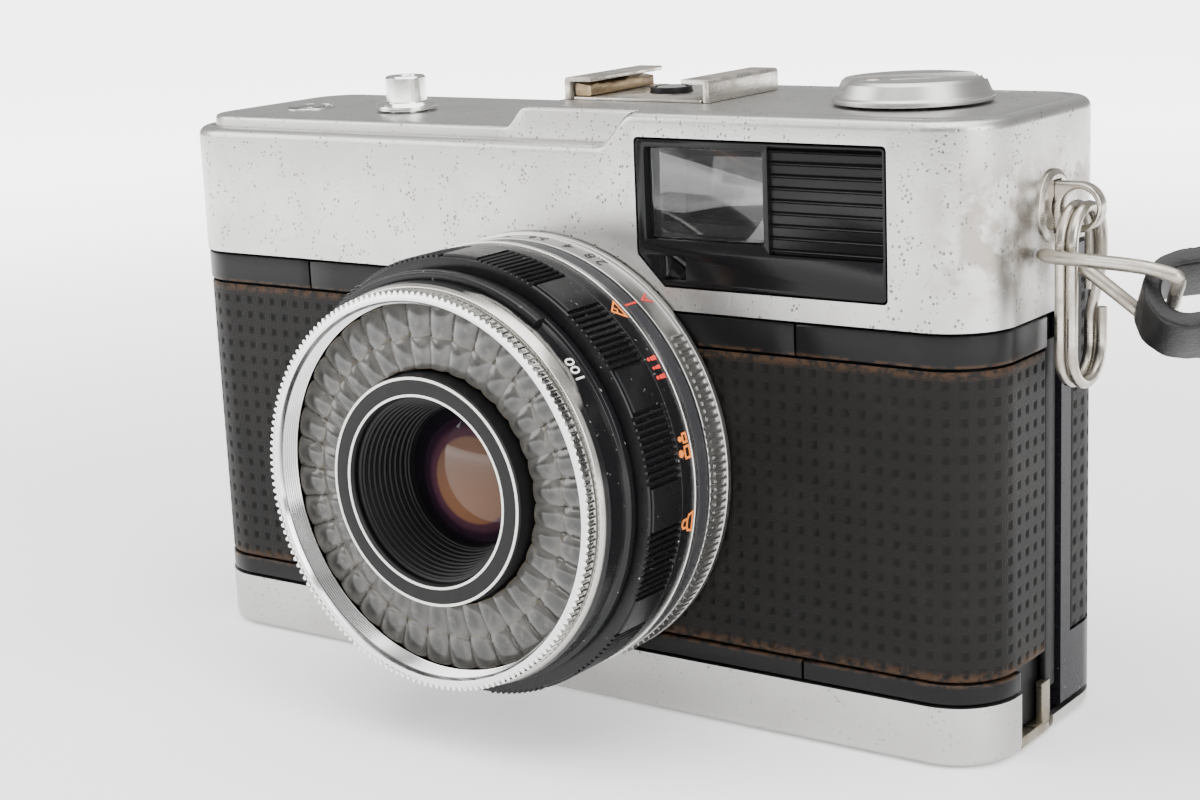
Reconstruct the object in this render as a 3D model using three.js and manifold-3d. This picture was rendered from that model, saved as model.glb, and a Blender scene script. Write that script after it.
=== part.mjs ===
// A compact 35 mm viewfinder camera with a light-cell ring round its lens,
// built as separate pieces in millimetres.
// +X runs along the camera's width, the lens looks along -Y and +Z is up.
// The origin is on the resting face of the base, under the middle of the body.

import * as THREE from 'three';
import { mergeVertices } from 'three/addons/utils/BufferGeometryUtils.js';
import Module from 'manifold-3d';

const wasm = await Module();
wasm.setup();

// ---- driving dimensions, all in millimetres ----

// body outline
const BODY_WIDTH = 116;
const BODY_DEPTH = 32;
const CORNER_RADIUS = 7.5;
const WALL = 1.2; // sheet and moulding thickness of covers, door and skins
const GAP = 0.3; // clearance between pieces that rest on or pass each other

// heights of the body's layers
const BASE_COVER_TOP = 7.1;
const BASE_RIM_TOP = 1.9;
const BASE_ROLL = 1.2; // rounding of the base's lower edge
const LOWER_BAND_HEIGHT = 2.3;
const UPPER_BAND_HEIGHT = 3.6;
const COVER_EDGE_RIGHT = 48.7; // lower edge of the top cover on the finder side
const COVER_EDGE_LEFT = 51.1; // lower edge of the top cover on the shutter side
const COVER_EDGE_REAR = 55.7;
const DECK_HIGH = 70.9; // the deck's height on the finder side
const DECK_DROP = 2.4; // how far it lies lower on the shutter side
const LIP_DROP = 3.8; // the same for the front lip
const DECK_INSET = 2.3;
const STEP_X = 9.4; // where the front lip starts to climb
const STEP_RUN = 4.8;
const RAMP_X = -5.2; // where the deck starts to climb
const RAMP_RUN = 2.6;

// ends of the front skins and of the door on the two short sides
const SKIN_END_RIGHT = -0.9;
const SKIN_END_LEFT = -1.2;
const LOWER_END_RIGHT = -7.5;
const DOOR_EDGE = 2.6;
const DOOR_BOTTOM = 2.4;
const BAND_SEAM_LEFT = -36.1;
const BAND_SEAM_RIGHT = 35;
const SKIN_RECESS = 0.3; // how far the leather lies below the covers
const BAND_RECESS = 0.12;

// lens: heights are distances in front of the body's front face
const LENS_X = 0.6;
const LENS_Z = 30.8;
const LENS_LENGTH = 23.5;
const RIM_LENGTH = 1.6;
const RING_RADIUS = 25.7; // the other radii follow from this one
const BARREL_WALL = 1.5;
const APERTURE_RING_LENGTH = 4;
const INDEX_RING_LENGTH = 1.9;
const FOCUS_RING_LENGTH = 9.2;
const CELL_DEPTH = 2.9; // cell ring surface below the rim's front edge
const CELL_THICKNESS = 1.3;
const FRONT_GLASS_DEPTH = 9.6;
const REAR_BARREL_LENGTH = 6;

// viewfinder
const FINDER_LEFT = 14.8;
const FINDER_RIGHT = 46.4;
const FINDER_BOTTOM = 51.5;
const FINDER_CHAMFER = 3.5;
const FINDER_DIVIDER = 32;
const PANE_BOTTOM = 56.5;
const BEZEL_BORDER = 1;
const BEZEL_DEPTH = 2.4;
const PANE_RECESS = 1.2;
const EYEPIECE_WIDTH = 11;
const EYEPIECE_HEIGHT = 7;
const EYEPIECE_STANDOUT = 1;

// film space
const CASSETTE_FROM_SIDE = 16.7;
const SPOOL_FROM_SIDE = 17;
const CHAMBER_Y = 0.2;
const CHAMBER_RADIUS = 12.8;
const CHAMBER_BOTTOM = 4;
const CHAMBER_TOP = 53;
const GATE_WIDTH = 36;
const GATE_HEIGHT = 24;
const FILM_SPACE = 4.5; // from the chassis rails' seat to the door's outer face
const RAIL_HEIGHT = 0.25;
const SPROCKET_X = -23.4;
const SPROCKET_Y = 6;
const SPROCKET_RADIUS = 5;
const SPROCKET_AXLE = 1.3;
const PLATE_THICKNESS = 0.8;
const STUD_RADIUS = 1.6; // studs on the door that guide the pressure plate
const STUD_SPREAD = 14;

// controls
const SHUTTER_X = -29.7;
const SHUTTER_Y = -2.5;
const SHUTTER_RADIUS = 2.6;
const SHUTTER_RISE = 4.5; // above the deck
const SHUTTER_BORE = 1.2;
const COLLAR_RADIUS = 3.9;
const KNOB_RADIUS = 9;
const KNOB_HEIGHT = 2.6;
const CRANK_WIDTH = 5;
const CRANK_THICKNESS = 1;
const SHAFT_RADIUS = 1.9;
const WHEEL_FROM_SIDE = 14.5;
const WHEEL_STANDOUT = 1.6; // how far the wheel shows behind the body
const WHEEL_RADIUS = 11;
const WHEEL_BELOW_DECK = 9.7;
const WHEEL_THICKNESS = 3.6;
const COUNTER_FROM_SIDE = 12;
const COUNTER_Y = -3;
const COUNTER_WINDOW_RADIUS = 3;
const COUNTER_DIAL_RADIUS = 5.5;

// accessory shoe
const SHOE_X = 8.2;
const SHOE_SLOT = 18.8;
const SHOE_FRONT = -6;
const SHOE_LENGTH = 15.4;
const SHOE_WALL = 0.8;
const SHOE_LIP = 3;
const SHOE_HEIGHT = 2.4;

// hinge and latch of the door
const HINGE_FROM_SIDE = 0.8;
const HINGE_Y = 1;
const HINGE_RADIUS = 1.2;
const HINGE_PIN_RADIUS = 0.6;
const LATCH_TRAVEL = 3;

// base fittings
const TRIPOD_X = -14;
const TRIPOD_RADIUS = 6.5;
const TRIPOD_BORE = 3.1;
const RELEASE_X = 22;
const RELEASE_Y = 3;
const RELEASE_RADIUS = 2.4;
const SCREW_FROM_SIDE = 11;
const SCREW_RADIUS = 2.1;

// strap fittings
const LUG_BELOW_DECK = 10.6;
const LUG_REACH = 6;
const LUG_HEIGHT = 5.4;
const LUG_HOLE_X = 3.4; // from the body's side to the middle of the hole
const LUG_HOLE_RADIUS = 2;
const LUG_THICKNESS = 1.8;
const RING_WIRE = 1.3;
const RING_WIDTH = 9;
const RING_HEIGHT = 20.5;
const LINK_WIRE = 1.5;
const STRAP_WIDTH = 8;
const STRAP_THICKNESS = 2;
const STRAP_FOLD_RADIUS = 4.6;
const STRAP_FOLD_RUN = 9;
const STRAP_CLASP_LENGTH = 5;
const STRAP_TUBE = 3.2;

// values that follow from the ones above
const HALF_WIDTH = BODY_WIDTH / 2;
const HALF_DEPTH = BODY_DEPTH / 2;
const FRONT = -HALF_DEPTH;
const LIP_HIGH = DECK_HIGH;
const LIP_LOW = LIP_HIGH - LIP_DROP;
const DECK_LOW = DECK_HIGH - DECK_DROP;
const CHASSIS_TOP = COVER_EDGE_REAR + WALL + 0.1;
const CHASSIS_REAR = HALF_DEPTH - FILM_SPACE;
const FINDER_TOP = LIP_HIGH - 2.9;
const EYEPIECE_X = FINDER_LEFT + 9.8;
const CASSETTE_X = HALF_WIDTH - CASSETTE_FROM_SIDE;
const SPOOL_X = SPOOL_FROM_SIDE - HALF_WIDTH;
const WHEEL_X = WHEEL_FROM_SIDE - HALF_WIDTH;
const WHEEL_Y = HALF_DEPTH + WHEEL_STANDOUT - WHEEL_RADIUS;
const WHEEL_BOTTOM = DECK_LOW - WHEEL_BELOW_DECK;
const COUNTER_X = COUNTER_FROM_SIDE - HALF_WIDTH;
const SHUTTER_TOP = DECK_LOW + SHUTTER_RISE;
const SHUTTER_FOOT = DECK_LOW - 6.5;
const HINGE_X = HINGE_FROM_SIDE - HALF_WIDTH;
const SCREW_X = HALF_WIDTH - SCREW_FROM_SIDE;
const LUG_Z = DECK_HIGH - LUG_BELOW_DECK;
const SPEED_RADIUS = RING_RADIUS - 2.3;
const RIM_RADIUS = RING_RADIUS - 2.8;
const RIM_BORE = RIM_RADIUS - 1.6;
const CORE_RADIUS = RING_RADIUS - 5.7;
const FLANGE_RADIUS = CORE_RADIUS + 2;
const BARREL_RADIUS = CORE_RADIUS - 2.6;
const NAME_RADIUS = 13.3 * (CORE_RADIUS / 20);
const THROAT_RADIUS = NAME_RADIUS - 2.6;
const FRONT_GLASS_RADIUS = 6.7 * (THROAT_RADIUS / 10.7);
const REAR_GLASS_RADIUS = 8 * (CORE_RADIUS / 20);
const DIAPHRAGM_RADIUS = 4.2 * (CORE_RADIUS / 20);
const LOWER_BAND_BOTTOM = BASE_COVER_TOP + GAP;
const LEATHER_BOTTOM = LOWER_BAND_BOTTOM + LOWER_BAND_HEIGHT + GAP;
const DOOR_TOP = COVER_EDGE_REAR - GAP;
const INNER = WALL + GAP; // how far the chassis lies inside the outline
const BIG = 200; // reach of cutting blocks

// ---- shapes and solids ----

function merged(geometry) {
  const plain = geometry.index ? geometry.toNonIndexed() : geometry.clone();
  plain.deleteAttribute('normal');
  plain.deleteAttribute('uv');
  return mergeVertices(plain, 1e-5);
}

function signedVolume(geometry) {
  const point = geometry.attributes.position;
  const index = geometry.index;
  const a = new THREE.Vector3();
  const b = new THREE.Vector3();
  const c = new THREE.Vector3();
  let volume = 0;
  for (let i = 0; i < index.count; i += 3) {
    a.fromBufferAttribute(point, index.getX(i));
    b.fromBufferAttribute(point, index.getX(i + 1));
    c.fromBufferAttribute(point, index.getX(i + 2));
    volume += a.dot(b.cross(c)) / 6;
  }
  return volume;
}

// A closed three.js geometry as a solid, turned right side out.
function solid(geometry) {
  const mesh = merged(geometry);
  const triVerts = Uint32Array.from(mesh.index.array);
  if (signedVolume(mesh) < 0) {
    for (let i = 0; i < triVerts.length; i += 3) {
      [triVerts[i + 1], triVerts[i + 2]] = [triVerts[i + 2], triVerts[i + 1]];
    }
  }
  const vertProperties = Float32Array.from(mesh.attributes.position.array);
  return new wasm.Manifold(new wasm.Mesh({ numProp: 3, vertProperties, triVerts }));
}

function geometryOf(manifold) {
  const mesh = manifold.getMesh();
  const geometry = new THREE.BufferGeometry();
  geometry.setAttribute('position', new THREE.BufferAttribute(mesh.vertProperties.slice(), 3));
  geometry.setIndex(new THREE.BufferAttribute(mesh.triVerts.slice(), 1));
  geometry.computeVertexNormals();
  return geometry;
}

function cut(body, ...tools) {
  return tools.reduce((rest, tool) => rest.subtract(tool), body);
}

function join(body, ...others) {
  return others.reduce((sum, other) => sum.add(other), body);
}

// The same solid carried to a new place.
function placed(body, matrix) {
  return solid(geometryOf(body).applyMatrix4(matrix));
}

function turnedAbout(axis, degrees, x = 0, y = 0, z = 0) {
  const angle = THREE.MathUtils.degToRad(degrees);
  return new THREE.Matrix4().makeRotationAxis(axis, angle).setPosition(x, y, z);
}

const X_AXIS = new THREE.Vector3(1, 0, 0);
const Z_AXIS = new THREE.Vector3(0, 0, 1);

function block(x0, x1, y0, y1, z0, z1) {
  const box = new THREE.BoxGeometry(x1 - x0, y1 - y0, z1 - z0);
  box.translate((x0 + x1) / 2, (y0 + y1) / 2, (z0 + z1) / 2);
  return solid(box);
}

function roundedRectangle(x0, x1, y0, y1, radius) {
  const shape = new THREE.Shape();
  shape.moveTo(x0 + radius, y0);
  shape.lineTo(x1 - radius, y0);
  shape.absarc(x1 - radius, y0 + radius, radius, -Math.PI / 2, 0);
  shape.lineTo(x1, y1 - radius);
  shape.absarc(x1 - radius, y1 - radius, radius, 0, Math.PI / 2);
  shape.lineTo(x0 + radius, y1);
  shape.absarc(x0 + radius, y1 - radius, radius, Math.PI / 2, Math.PI);
  shape.lineTo(x0, y0 + radius);
  shape.absarc(x0 + radius, y0 + radius, radius, Math.PI, 1.5 * Math.PI);
  return shape;
}

// A shape in the XY plane, raised from z0 to z1.
function raised(shape, z0, z1, segments = 4) {
  const geometry = new THREE.ExtrudeGeometry(shape, {
    depth: z1 - z0,
    bevelEnabled: false,
    curveSegments: segments,
  });
  geometry.translate(0, 0, z0);
  return solid(geometry);
}

// A shape drawn in the XZ plane, carried from y0 to y1.
function carried(shape, y0, y1, segments = 5) {
  const geometry = new THREE.ExtrudeGeometry(shape, {
    depth: y1 - y0,
    bevelEnabled: false,
    curveSegments: segments,
  });
  geometry.rotateX(Math.PI / 2);
  geometry.translate(0, y1, 0);
  return solid(geometry);
}

// The body's outline in plan, brought in by an inset.
function outline(inset) {
  return roundedRectangle(
    inset - HALF_WIDTH,
    HALF_WIDTH - inset,
    inset - HALF_DEPTH,
    HALF_DEPTH - inset,
    CORNER_RADIUS - inset,
  );
}

function polygon(points) {
  return new THREE.Shape(points.map(([x, y]) => new THREE.Vector2(x, y)));
}

// A profile of [radius, height] points turned about a vertical axis.
function turned(points, x, y, segments = 20) {
  const profile = [...points, points[0]].map(([r, h]) => new THREE.Vector2(r, h));
  const geometry = new THREE.LatheGeometry(profile, segments);
  geometry.rotateX(Math.PI / 2);
  geometry.translate(x, y, 0);
  return solid(geometry);
}

// The same about the lens axis; heights count forward from the front face.
function lensTurned(points, segments = 32) {
  const profile = [...points, points[0]].map(([r, h]) => new THREE.Vector2(r, FRONT - h));
  const geometry = new THREE.LatheGeometry(profile, segments);
  geometry.translate(LENS_X, 0, LENS_Z);
  return solid(geometry);
}

function disc(radius, z0, z1, x, y, segments = 20) {
  return turned([[0, z0], [radius, z0], [radius, z1], [0, z1]], x, y, segments);
}

function tube(inner, outer, z0, z1, x, y, segments = 20) {
  return turned([[inner, z0], [outer, z0], [outer, z1], [inner, z1]], x, y, segments);
}

function lensDisc(radius, h0, h1) {
  return lensTurned([[0, h0], [radius, h0], [radius, h1], [0, h1]]);
}

function lensTube(inner, outer, h0, h1) {
  return lensTurned([[inner, h0], [outer, h0], [outer, h1], [inner, h1]]);
}

// A round wire along points, open at its two ends.
function wire(points, diameter, sides, steps) {
  const curve = new THREE.CatmullRomCurve3(points.map((p) => new THREE.Vector3(...p)));
  const section = new THREE.Shape();
  section.absarc(0, 0, diameter / 2, 0, 2 * Math.PI);
  const geometry = new THREE.ExtrudeGeometry(section, {
    steps,
    extrudePath: curve,
    curveSegments: sides,
  });
  return solid(geometry);
}

// ---- finishes ----

function finish(color, roughness, metalness) {
  return new THREE.MeshStandardMaterial({ color, roughness, metalness });
}

const SATIN_CHROME = finish(0xc9c8c4, 0.38, 0.9);
const BRIGHT_CHROME = finish(0xd8d8d6, 0.18, 1);
const STEEL = finish(0xa8a59e, 0.32, 1);
const BLACK_PAINT = finish(0x16161a, 0.35, 0.3);
const BLACK_PLASTIC = finish(0x1b1b1d, 0.42, 0);
const LEATHERETTE = finish(0x24211f, 0.72, 0);
const STRAP_LEATHER = finish(0x121214, 0.5, 0);
const CELL_GREY = finish(0x6d6a63, 0.3, 0);
const CLEAR_GLASS = finish(0x3a3a40, 0.05, 0);
const AMBER_GLASS = finish(0x6a3e2c, 0.05, 0);
const BRASS = finish(0x9a8350, 0.5, 0.8);

const camera = new THREE.Group();

function piece(name, body, material) {
  const mesh = new THREE.Mesh(geometryOf(body), material);
  mesh.name = name;
  camera.add(mesh);
  return mesh;
}

// ---- covers, chassis and skins ----

const lensClearance = lensDisc(FLANGE_RADIUS + GAP, -INNER - GAP, 1);

// The front view of the top cover: low on the shutter side, high over the finder.
function coverProfile(lower, lowTop, highTop, stepStart, stepRun) {
  const shape = new THREE.Shape();
  shape.moveTo(-BIG, lower);
  shape.lineTo(-BIG, lowTop);
  shape.lineTo(stepStart, lowTop);
  const middle = stepStart + stepRun / 2;
  shape.bezierCurveTo(middle, lowTop, middle, highTop, stepStart + stepRun, highTop);
  shape.lineTo(BIG, highTop);
  shape.lineTo(BIG, lower);
  return shape;
}

function topCover() {
  const lower = COVER_EDGE_RIGHT;
  const lip = raised(outline(0), lower, LIP_HIGH)
    .intersect(carried(coverProfile(0, LIP_LOW, LIP_HIGH, STEP_X, STEP_RUN), -BIG, BIG, 12));
  const deckProfile = polygon([
    [-BIG, 0], [-BIG, DECK_LOW], [RAMP_X, DECK_LOW],
    [RAMP_X + RAMP_RUN, DECK_HIGH], [BIG, DECK_HIGH], [BIG, 0],
  ]);
  const deck = raised(outline(DECK_INSET), LIP_LOW - WALL, DECK_HIGH)
    .intersect(carried(deckProfile, -BIG, BIG));
  const roof = WALL + 0.2;
  const lowSpace = raised(outline(WALL), lower - 1, LIP_LOW - roof);
  const deckSpace = raised(outline(DECK_INSET + WALL), lower, DECK_HIGH - roof)
    .intersect(block(RAMP_X + RAMP_RUN + WALL, BIG, -BIG, BIG, 0, BIG));
  const highSpace = raised(outline(WALL), lower, LIP_HIGH - roof)
    .intersect(block(STEP_X + STEP_RUN - 1, BIG, -BIG, BIG, 0, BIG));
  const frontLeft = block(-BIG, LENS_X, -BIG, COVER_SPLIT, 0, COVER_EDGE_LEFT);
  const rear = block(-BIG, BIG, COVER_SPLIT, BIG, 0, COVER_EDGE_REAR);
  const finderHole = carried(finderOutline(-GAP), FRONT - 1, FRONT + WALL + 1);
  const eyeHole = block(
    EYEPIECE_X - EYEPIECE_WIDTH / 2 - GAP, EYEPIECE_X + EYEPIECE_WIDTH / 2 + GAP,
    HALF_DEPTH - WALL - 1, HALF_DEPTH + 1,
    FINDER_MIDDLE - EYEPIECE_HEIGHT / 2 - GAP, FINDER_MIDDLE + EYEPIECE_HEIGHT / 2 + GAP,
  );
  const wheelSlot = disc(WHEEL_RADIUS + 2 * GAP, WHEEL_BOTTOM - 2 * GAP,
    WHEEL_BOTTOM + WHEEL_THICKNESS + 2 * GAP, WHEEL_X, WHEEL_Y, 28);
  const shutterHole = disc(SHUTTER_RADIUS + GAP, CHASSIS_TOP, BIG, SHUTTER_X, SHUTTER_Y, 24);
  const shaftHole = disc(SLEEVE_RADIUS + GAP, CHASSIS_TOP, BIG, CASSETTE_X, CHAMBER_Y, 24);
  const counterHole = disc(COUNTER_WINDOW_RADIUS + GAP, DECK_LOW - 2 * WALL, BIG,
    COUNTER_X, COUNTER_Y, 24);
  const lugSlot = block(-BIG, BIG, -LUG_THICKNESS / 2 - GAP, LUG_THICKNESS / 2 + GAP,
    LUG_Z - LUG_HEIGHT / 2 - GAP, LUG_Z + LUG_HEIGHT / 2 + GAP);
  return cut(join(lip, deck), lowSpace, deckSpace, highSpace, frontLeft, rear, finderHole, eyeHole,
    wheelSlot, shutterHole, shaftHole, counterHole, lugSlot, lensClearance);
}

const COVER_SPLIT = DOOR_EDGE - GAP; // where the cover's lower edge climbs over the door
const FINDER_MIDDLE = (CHASSIS_TOP + GAP + FINDER_TOP - BEZEL_BORDER) / 2;
const SLEEVE_RADIUS = SHAFT_RADIUS + GAP + 1;

// The finder window's outline with its one cut corner, brought in by an inset.
function finderOutline(inset) {
  const left = FINDER_LEFT + inset;
  const right = FINDER_RIGHT - inset;
  const bottom = FINDER_BOTTOM + inset;
  const top = FINDER_TOP - inset;
  const corner = FINDER_CHAMFER - inset / 2;
  return polygon([
    [left, bottom + corner], [left + corner, bottom], [right, bottom],
    [right, top], [left, top],
  ]);
}

function baseCover() {
  const shell = new THREE.ExtrudeGeometry(outline(0), {
    depth: BASE_COVER_TOP + 4,
    bevelThickness: BASE_ROLL,
    bevelSize: BASE_ROLL,
    bevelOffset: -BASE_ROLL,
    bevelSegments: 2,
    curveSegments: 4,
  });
  shell.translate(0, 0, BASE_ROLL);
  const pocket = raised(outline(WALL), WALL, BIG);
  const above = block(-BIG, BIG, -BIG, BIG, BASE_COVER_TOP, BIG);
  const rear = block(-BIG, BIG, SKIN_END_LEFT, BIG, BASE_RIM_TOP, BIG);
  const rightSide = block(HALF_WIDTH - 8, BIG, LOWER_END_RIGHT, BIG, BASE_RIM_TOP, BIG);
  const latchNotch = block(LATCH_INNER - GAP, BIG, LOWER_END_RIGHT, LATCH_BACK + GAP, -1, BIG);
  const tripodHole = disc(TRIPOD_RADIUS + GAP, -1, 3, TRIPOD_X, 0);
  const releaseHole = disc(RELEASE_RADIUS + GAP, -1, 3, RELEASE_X, RELEASE_Y, 20);
  const screwHoles = [-SCREW_X, SCREW_X].map((x) => disc(SCREW_RADIUS + GAP, -1, 3, x, 0, 16));
  return cut(solid(shell), pocket, above, rear, rightSide, latchNotch,
    tripodHole, releaseHole, ...screwHoles);
}

const LATCH_INNER = HALF_WIDTH - 3.6;
const LATCH_BACK = 0.4;

function chassis() {
  const body = raised(outline(INNER), INNER, CHASSIS_TOP)
    .intersect(block(-BIG, BIG, -BIG, CHASSIS_REAR, 0, BIG));
  const rails = [-1, 1].map((side) => {
    const middle = LENS_Z + side * (GATE_HEIGHT / 2 + 1.6);
    return block(LENS_X - GATE_WIDTH / 2 - 6, LENS_X + GATE_WIDTH / 2 + 6,
      CHASSIS_REAR - 0.1, CHASSIS_REAR + RAIL_HEIGHT, middle - 0.6, middle + 0.6);
  });
  const chambers = [CASSETTE_X, SPOOL_X].map((x) => join(
    disc(CHAMBER_RADIUS, CHAMBER_BOTTOM, CHAMBER_TOP, x, CHAMBER_Y, 28),
    block(x - CHAMBER_RADIUS, x + CHAMBER_RADIUS, CHAMBER_Y, BIG, CHAMBER_BOTTOM, CHAMBER_TOP),
  ));
  const sprocketWell = join(
    disc(SPROCKET_RADIUS + 0.8, CHAMBER_BOTTOM + 3, CHAMBER_TOP - 3, SPROCKET_X, SPROCKET_Y, 24),
    block(SPROCKET_X - SPROCKET_RADIUS - 0.8, SPROCKET_X + SPROCKET_RADIUS + 0.8,
      SPROCKET_Y, BIG, CHAMBER_BOTTOM + 3, CHAMBER_TOP - 3),
  );
  const gate = block(LENS_X - GATE_WIDTH / 2, LENS_X + GATE_WIDTH / 2, 0, BIG,
    LENS_Z - GATE_HEIGHT / 2, LENS_Z + GATE_HEIGHT / 2);
  const barrelHole = lensDisc(BARREL_RADIUS + GAP, -HALF_DEPTH - REAR_BARREL_LENGTH, 2);
  const shaftHoles = [CASSETTE_X, SPOOL_X].map(
    (x) => disc(SHAFT_RADIUS + GAP, CHAMBER_TOP - 1, BIG, x, CHAMBER_Y, 20),
  );
  const wheelHole = disc(SHAFT_RADIUS + GAP, CHASSIS_TOP - 2.5, BIG, WHEEL_X, WHEEL_Y, 20);
  const sprocketHole = disc(SPROCKET_AXLE + GAP, CHAMBER_BOTTOM, CHAMBER_TOP,
    SPROCKET_X, SPROCKET_Y, 16);
  const hingeWell = disc(HINGE_RADIUS + 1, 0, COVER_EDGE_LEFT, HINGE_X, HINGE_Y, 20);
  const hingeLug = cut(
    join(
      disc(HINGE_RADIUS, HINGE_LUG_LOW, HINGE_LUG_HIGH, HINGE_X, HINGE_Y, 20),
      block(HINGE_X, HINGE_X + 4, HINGE_Y - 1, HINGE_Y + 1, HINGE_LUG_LOW, HINGE_LUG_HIGH),
    ),
    disc(HINGE_PIN_RADIUS + GAP, 0, BIG, HINGE_X, HINGE_Y, 16),
  );
  const finderSeat = block(FINDER_LEFT - 1, FINDER_RIGHT + 1, -BIG,
    FRONT + BEZEL_DEPTH + GAP, FINDER_BOTTOM - 2 * GAP, BIG);
  const tripodWell = disc(TRIPOD_RADIUS + GAP, 0, TRIPOD_TOP + GAP, TRIPOD_X, 0);
  const releaseWell = disc(RELEASE_RADIUS + GAP, 0, RELEASE_TOP + 2, RELEASE_X, RELEASE_Y, 20);
  const latchWell = block(LATCH_INNER - GAP, BIG, LOWER_END_RIGHT, LATCH_BACK + GAP, 0,
    LATCH_FOOT_TOP + GAP);
  const whole = cut(join(body, ...rails), ...chambers, sprocketWell, gate, barrelHole,
    ...shaftHoles, wheelHole, sprocketHole, hingeWell, finderSeat, tripodWell, releaseWell,
    latchWell);
  return join(whole, hingeLug);
}

const HINGE_LUG_LOW = 26;
const HINGE_LUG_HIGH = 31;
const TRIPOD_TOP = 3.6;
const RELEASE_TOP = 3;
const LATCH_FOOT_TOP = 1.7;

// A strip of skin between two heights, following the outline on the front.
function skin(recess, z0, z1, x0, x1, leftEnd, rightEnd) {
  const ring = cut(raised(outline(recess), z0, z1), raised(outline(WALL), z0 - 1, z1 + 1));
  const middle = (x0 + x1) / 2;
  const end = middle < LENS_X ? leftEnd : rightEnd;
  return cut(ring.intersect(block(x0, x1, -BIG, end, 0, BIG)), lensClearance);
}

function addSkins() {
  const edge = HALF_WIDTH + 1;
  const leftTop = COVER_EDGE_LEFT - GAP;
  const rightTop = COVER_EDGE_RIGHT - GAP;
  const seam = GAP / 2;
  const inside = 8;
  const upper = [
    ['band_upper_left_end', leftTop, -edge, BAND_SEAM_LEFT - seam],
    ['band_upper_left', leftTop, BAND_SEAM_LEFT + seam, LENS_X - inside],
    ['band_upper_right', rightTop, LENS_X + inside, BAND_SEAM_RIGHT - seam],
    ['band_upper_right_end', rightTop, BAND_SEAM_RIGHT + seam, edge],
  ];
  for (const [name, top, x0, x1] of upper) {
    const band = skin(BAND_RECESS, top - UPPER_BAND_HEIGHT, top, x0, x1,
      SKIN_END_LEFT, SKIN_END_RIGHT);
    piece(name, band, BLACK_PLASTIC);
  }
  const lower = [
    ['band_lower_left', -edge, LENS_X - inside],
    ['band_lower_right', LENS_X + inside, BAND_SEAM_RIGHT - seam],
    ['band_lower_right_end', BAND_SEAM_RIGHT + seam, edge],
  ];
  for (const [name, x0, x1] of lower) {
    const band = skin(BAND_RECESS, LOWER_BAND_BOTTOM, LOWER_BAND_BOTTOM + LOWER_BAND_HEIGHT,
      x0, x1, SKIN_END_LEFT, LOWER_END_RIGHT);
    piece(name, band, BLACK_PLASTIC);
  }
  const leatherLeft = skin(SKIN_RECESS, LEATHER_BOTTOM, leftTop - UPPER_BAND_HEIGHT - GAP,
    -edge, LENS_X - inside, SKIN_END_LEFT, SKIN_END_RIGHT);
  const leatherRight = skin(SKIN_RECESS, LEATHER_BOTTOM, rightTop - UPPER_BAND_HEIGHT - GAP,
    LENS_X + inside, edge, SKIN_END_LEFT, SKIN_END_RIGHT);
  piece('leather_left', leatherLeft, LEATHERETTE);
  piece('leather_right', leatherRight, LEATHERETTE);
}

// ---- door, hinge and latch ----

const DOOR_LEATHER_BOTTOM = 10.8;
const DOOR_LEATHER_TOP = 52.3;
const DOOR_LEATHER_EDGE = DOOR_EDGE + 2.4;

function doorLeatherSpace(margin) {
  const ring = cut(
    raised(outline(-1), DOOR_LEATHER_BOTTOM - margin, DOOR_LEATHER_TOP + margin),
    raised(outline(WALL / 2 - margin / 2), 0, BIG),
  );
  return ring.intersect(block(-BIG, BIG, DOOR_LEATHER_EDGE - margin, BIG, 0, BIG));
}

function rearDoor() {
  const shell = cut(raised(outline(0), DOOR_BOTTOM, DOOR_TOP), raised(outline(WALL), 0, BIG))
    .intersect(block(-BIG, BIG, DOOR_EDGE, BIG, 0, BIG));
  const barrelLow = DOOR_BOTTOM + 1;
  const barrelHigh = COVER_EDGE_LEFT - 1;
  const barrel = disc(HINGE_RADIUS, barrelLow, barrelHigh, HINGE_X, HINGE_Y, 20);
  const leaf = block(-HALF_WIDTH, HINGE_X + 0.2, HINGE_Y, DOOR_EDGE + 1, barrelLow, barrelHigh);
  const lugSpace = block(HINGE_X - 3, HINGE_X + 4, HINGE_Y - 3, DOOR_EDGE + 0.4,
    HINGE_LUG_LOW - GAP, HINGE_LUG_HIGH + GAP);
  const pinBore = disc(HINGE_PIN_RADIUS + 0.1, 0, BIG, HINGE_X, HINGE_Y, 16);
  const stud = disc(STUD_RADIUS, HALF_DEPTH - WALL - 1.5, HALF_DEPTH - WALL / 2, 0, 0, 12);
  const studs = [-1, 1].map((side) => placed(stud, plateStudPlace(side)));
  return cut(join(shell, barrel, leaf, ...studs), doorLeatherSpace(0), lugSpace, pinBore);
}

// Lays a stud drawn upright along +Y, on one side of the lens axis.
function plateStudPlace(side) {
  return turnedAbout(X_AXIS, -90, LENS_X + side * STUD_SPREAD, 0, LENS_Z);
}

function doorLeather() {
  return doorLeatherSpace(-GAP / 2).intersect(raised(outline(0.05), 0, BIG))
    .subtract(raised(outline(WALL / 2 - GAP), 0, BIG));
}

function doorLatch() {
  const side = HALF_WIDTH - 0.2;
  const foot = block(LATCH_INNER, side, LOWER_END_RIGHT + GAP, LATCH_BACK, 0.4, LATCH_FOOT_TOP);
  const tab = block(side - 1, side, -1.6, LATCH_BACK, 0.4, 6.4);
  const bar = block(HALF_WIDTH - WALL, HALF_WIDTH - WALL + 0.9, SKIN_END_RIGHT + GAP,
    DOOR_EDGE - 2 * GAP, BASE_RIM_TOP + GAP + LATCH_TRAVEL, COVER_EDGE_RIGHT - 3);
  return join(foot, tab, bar);
}

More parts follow.
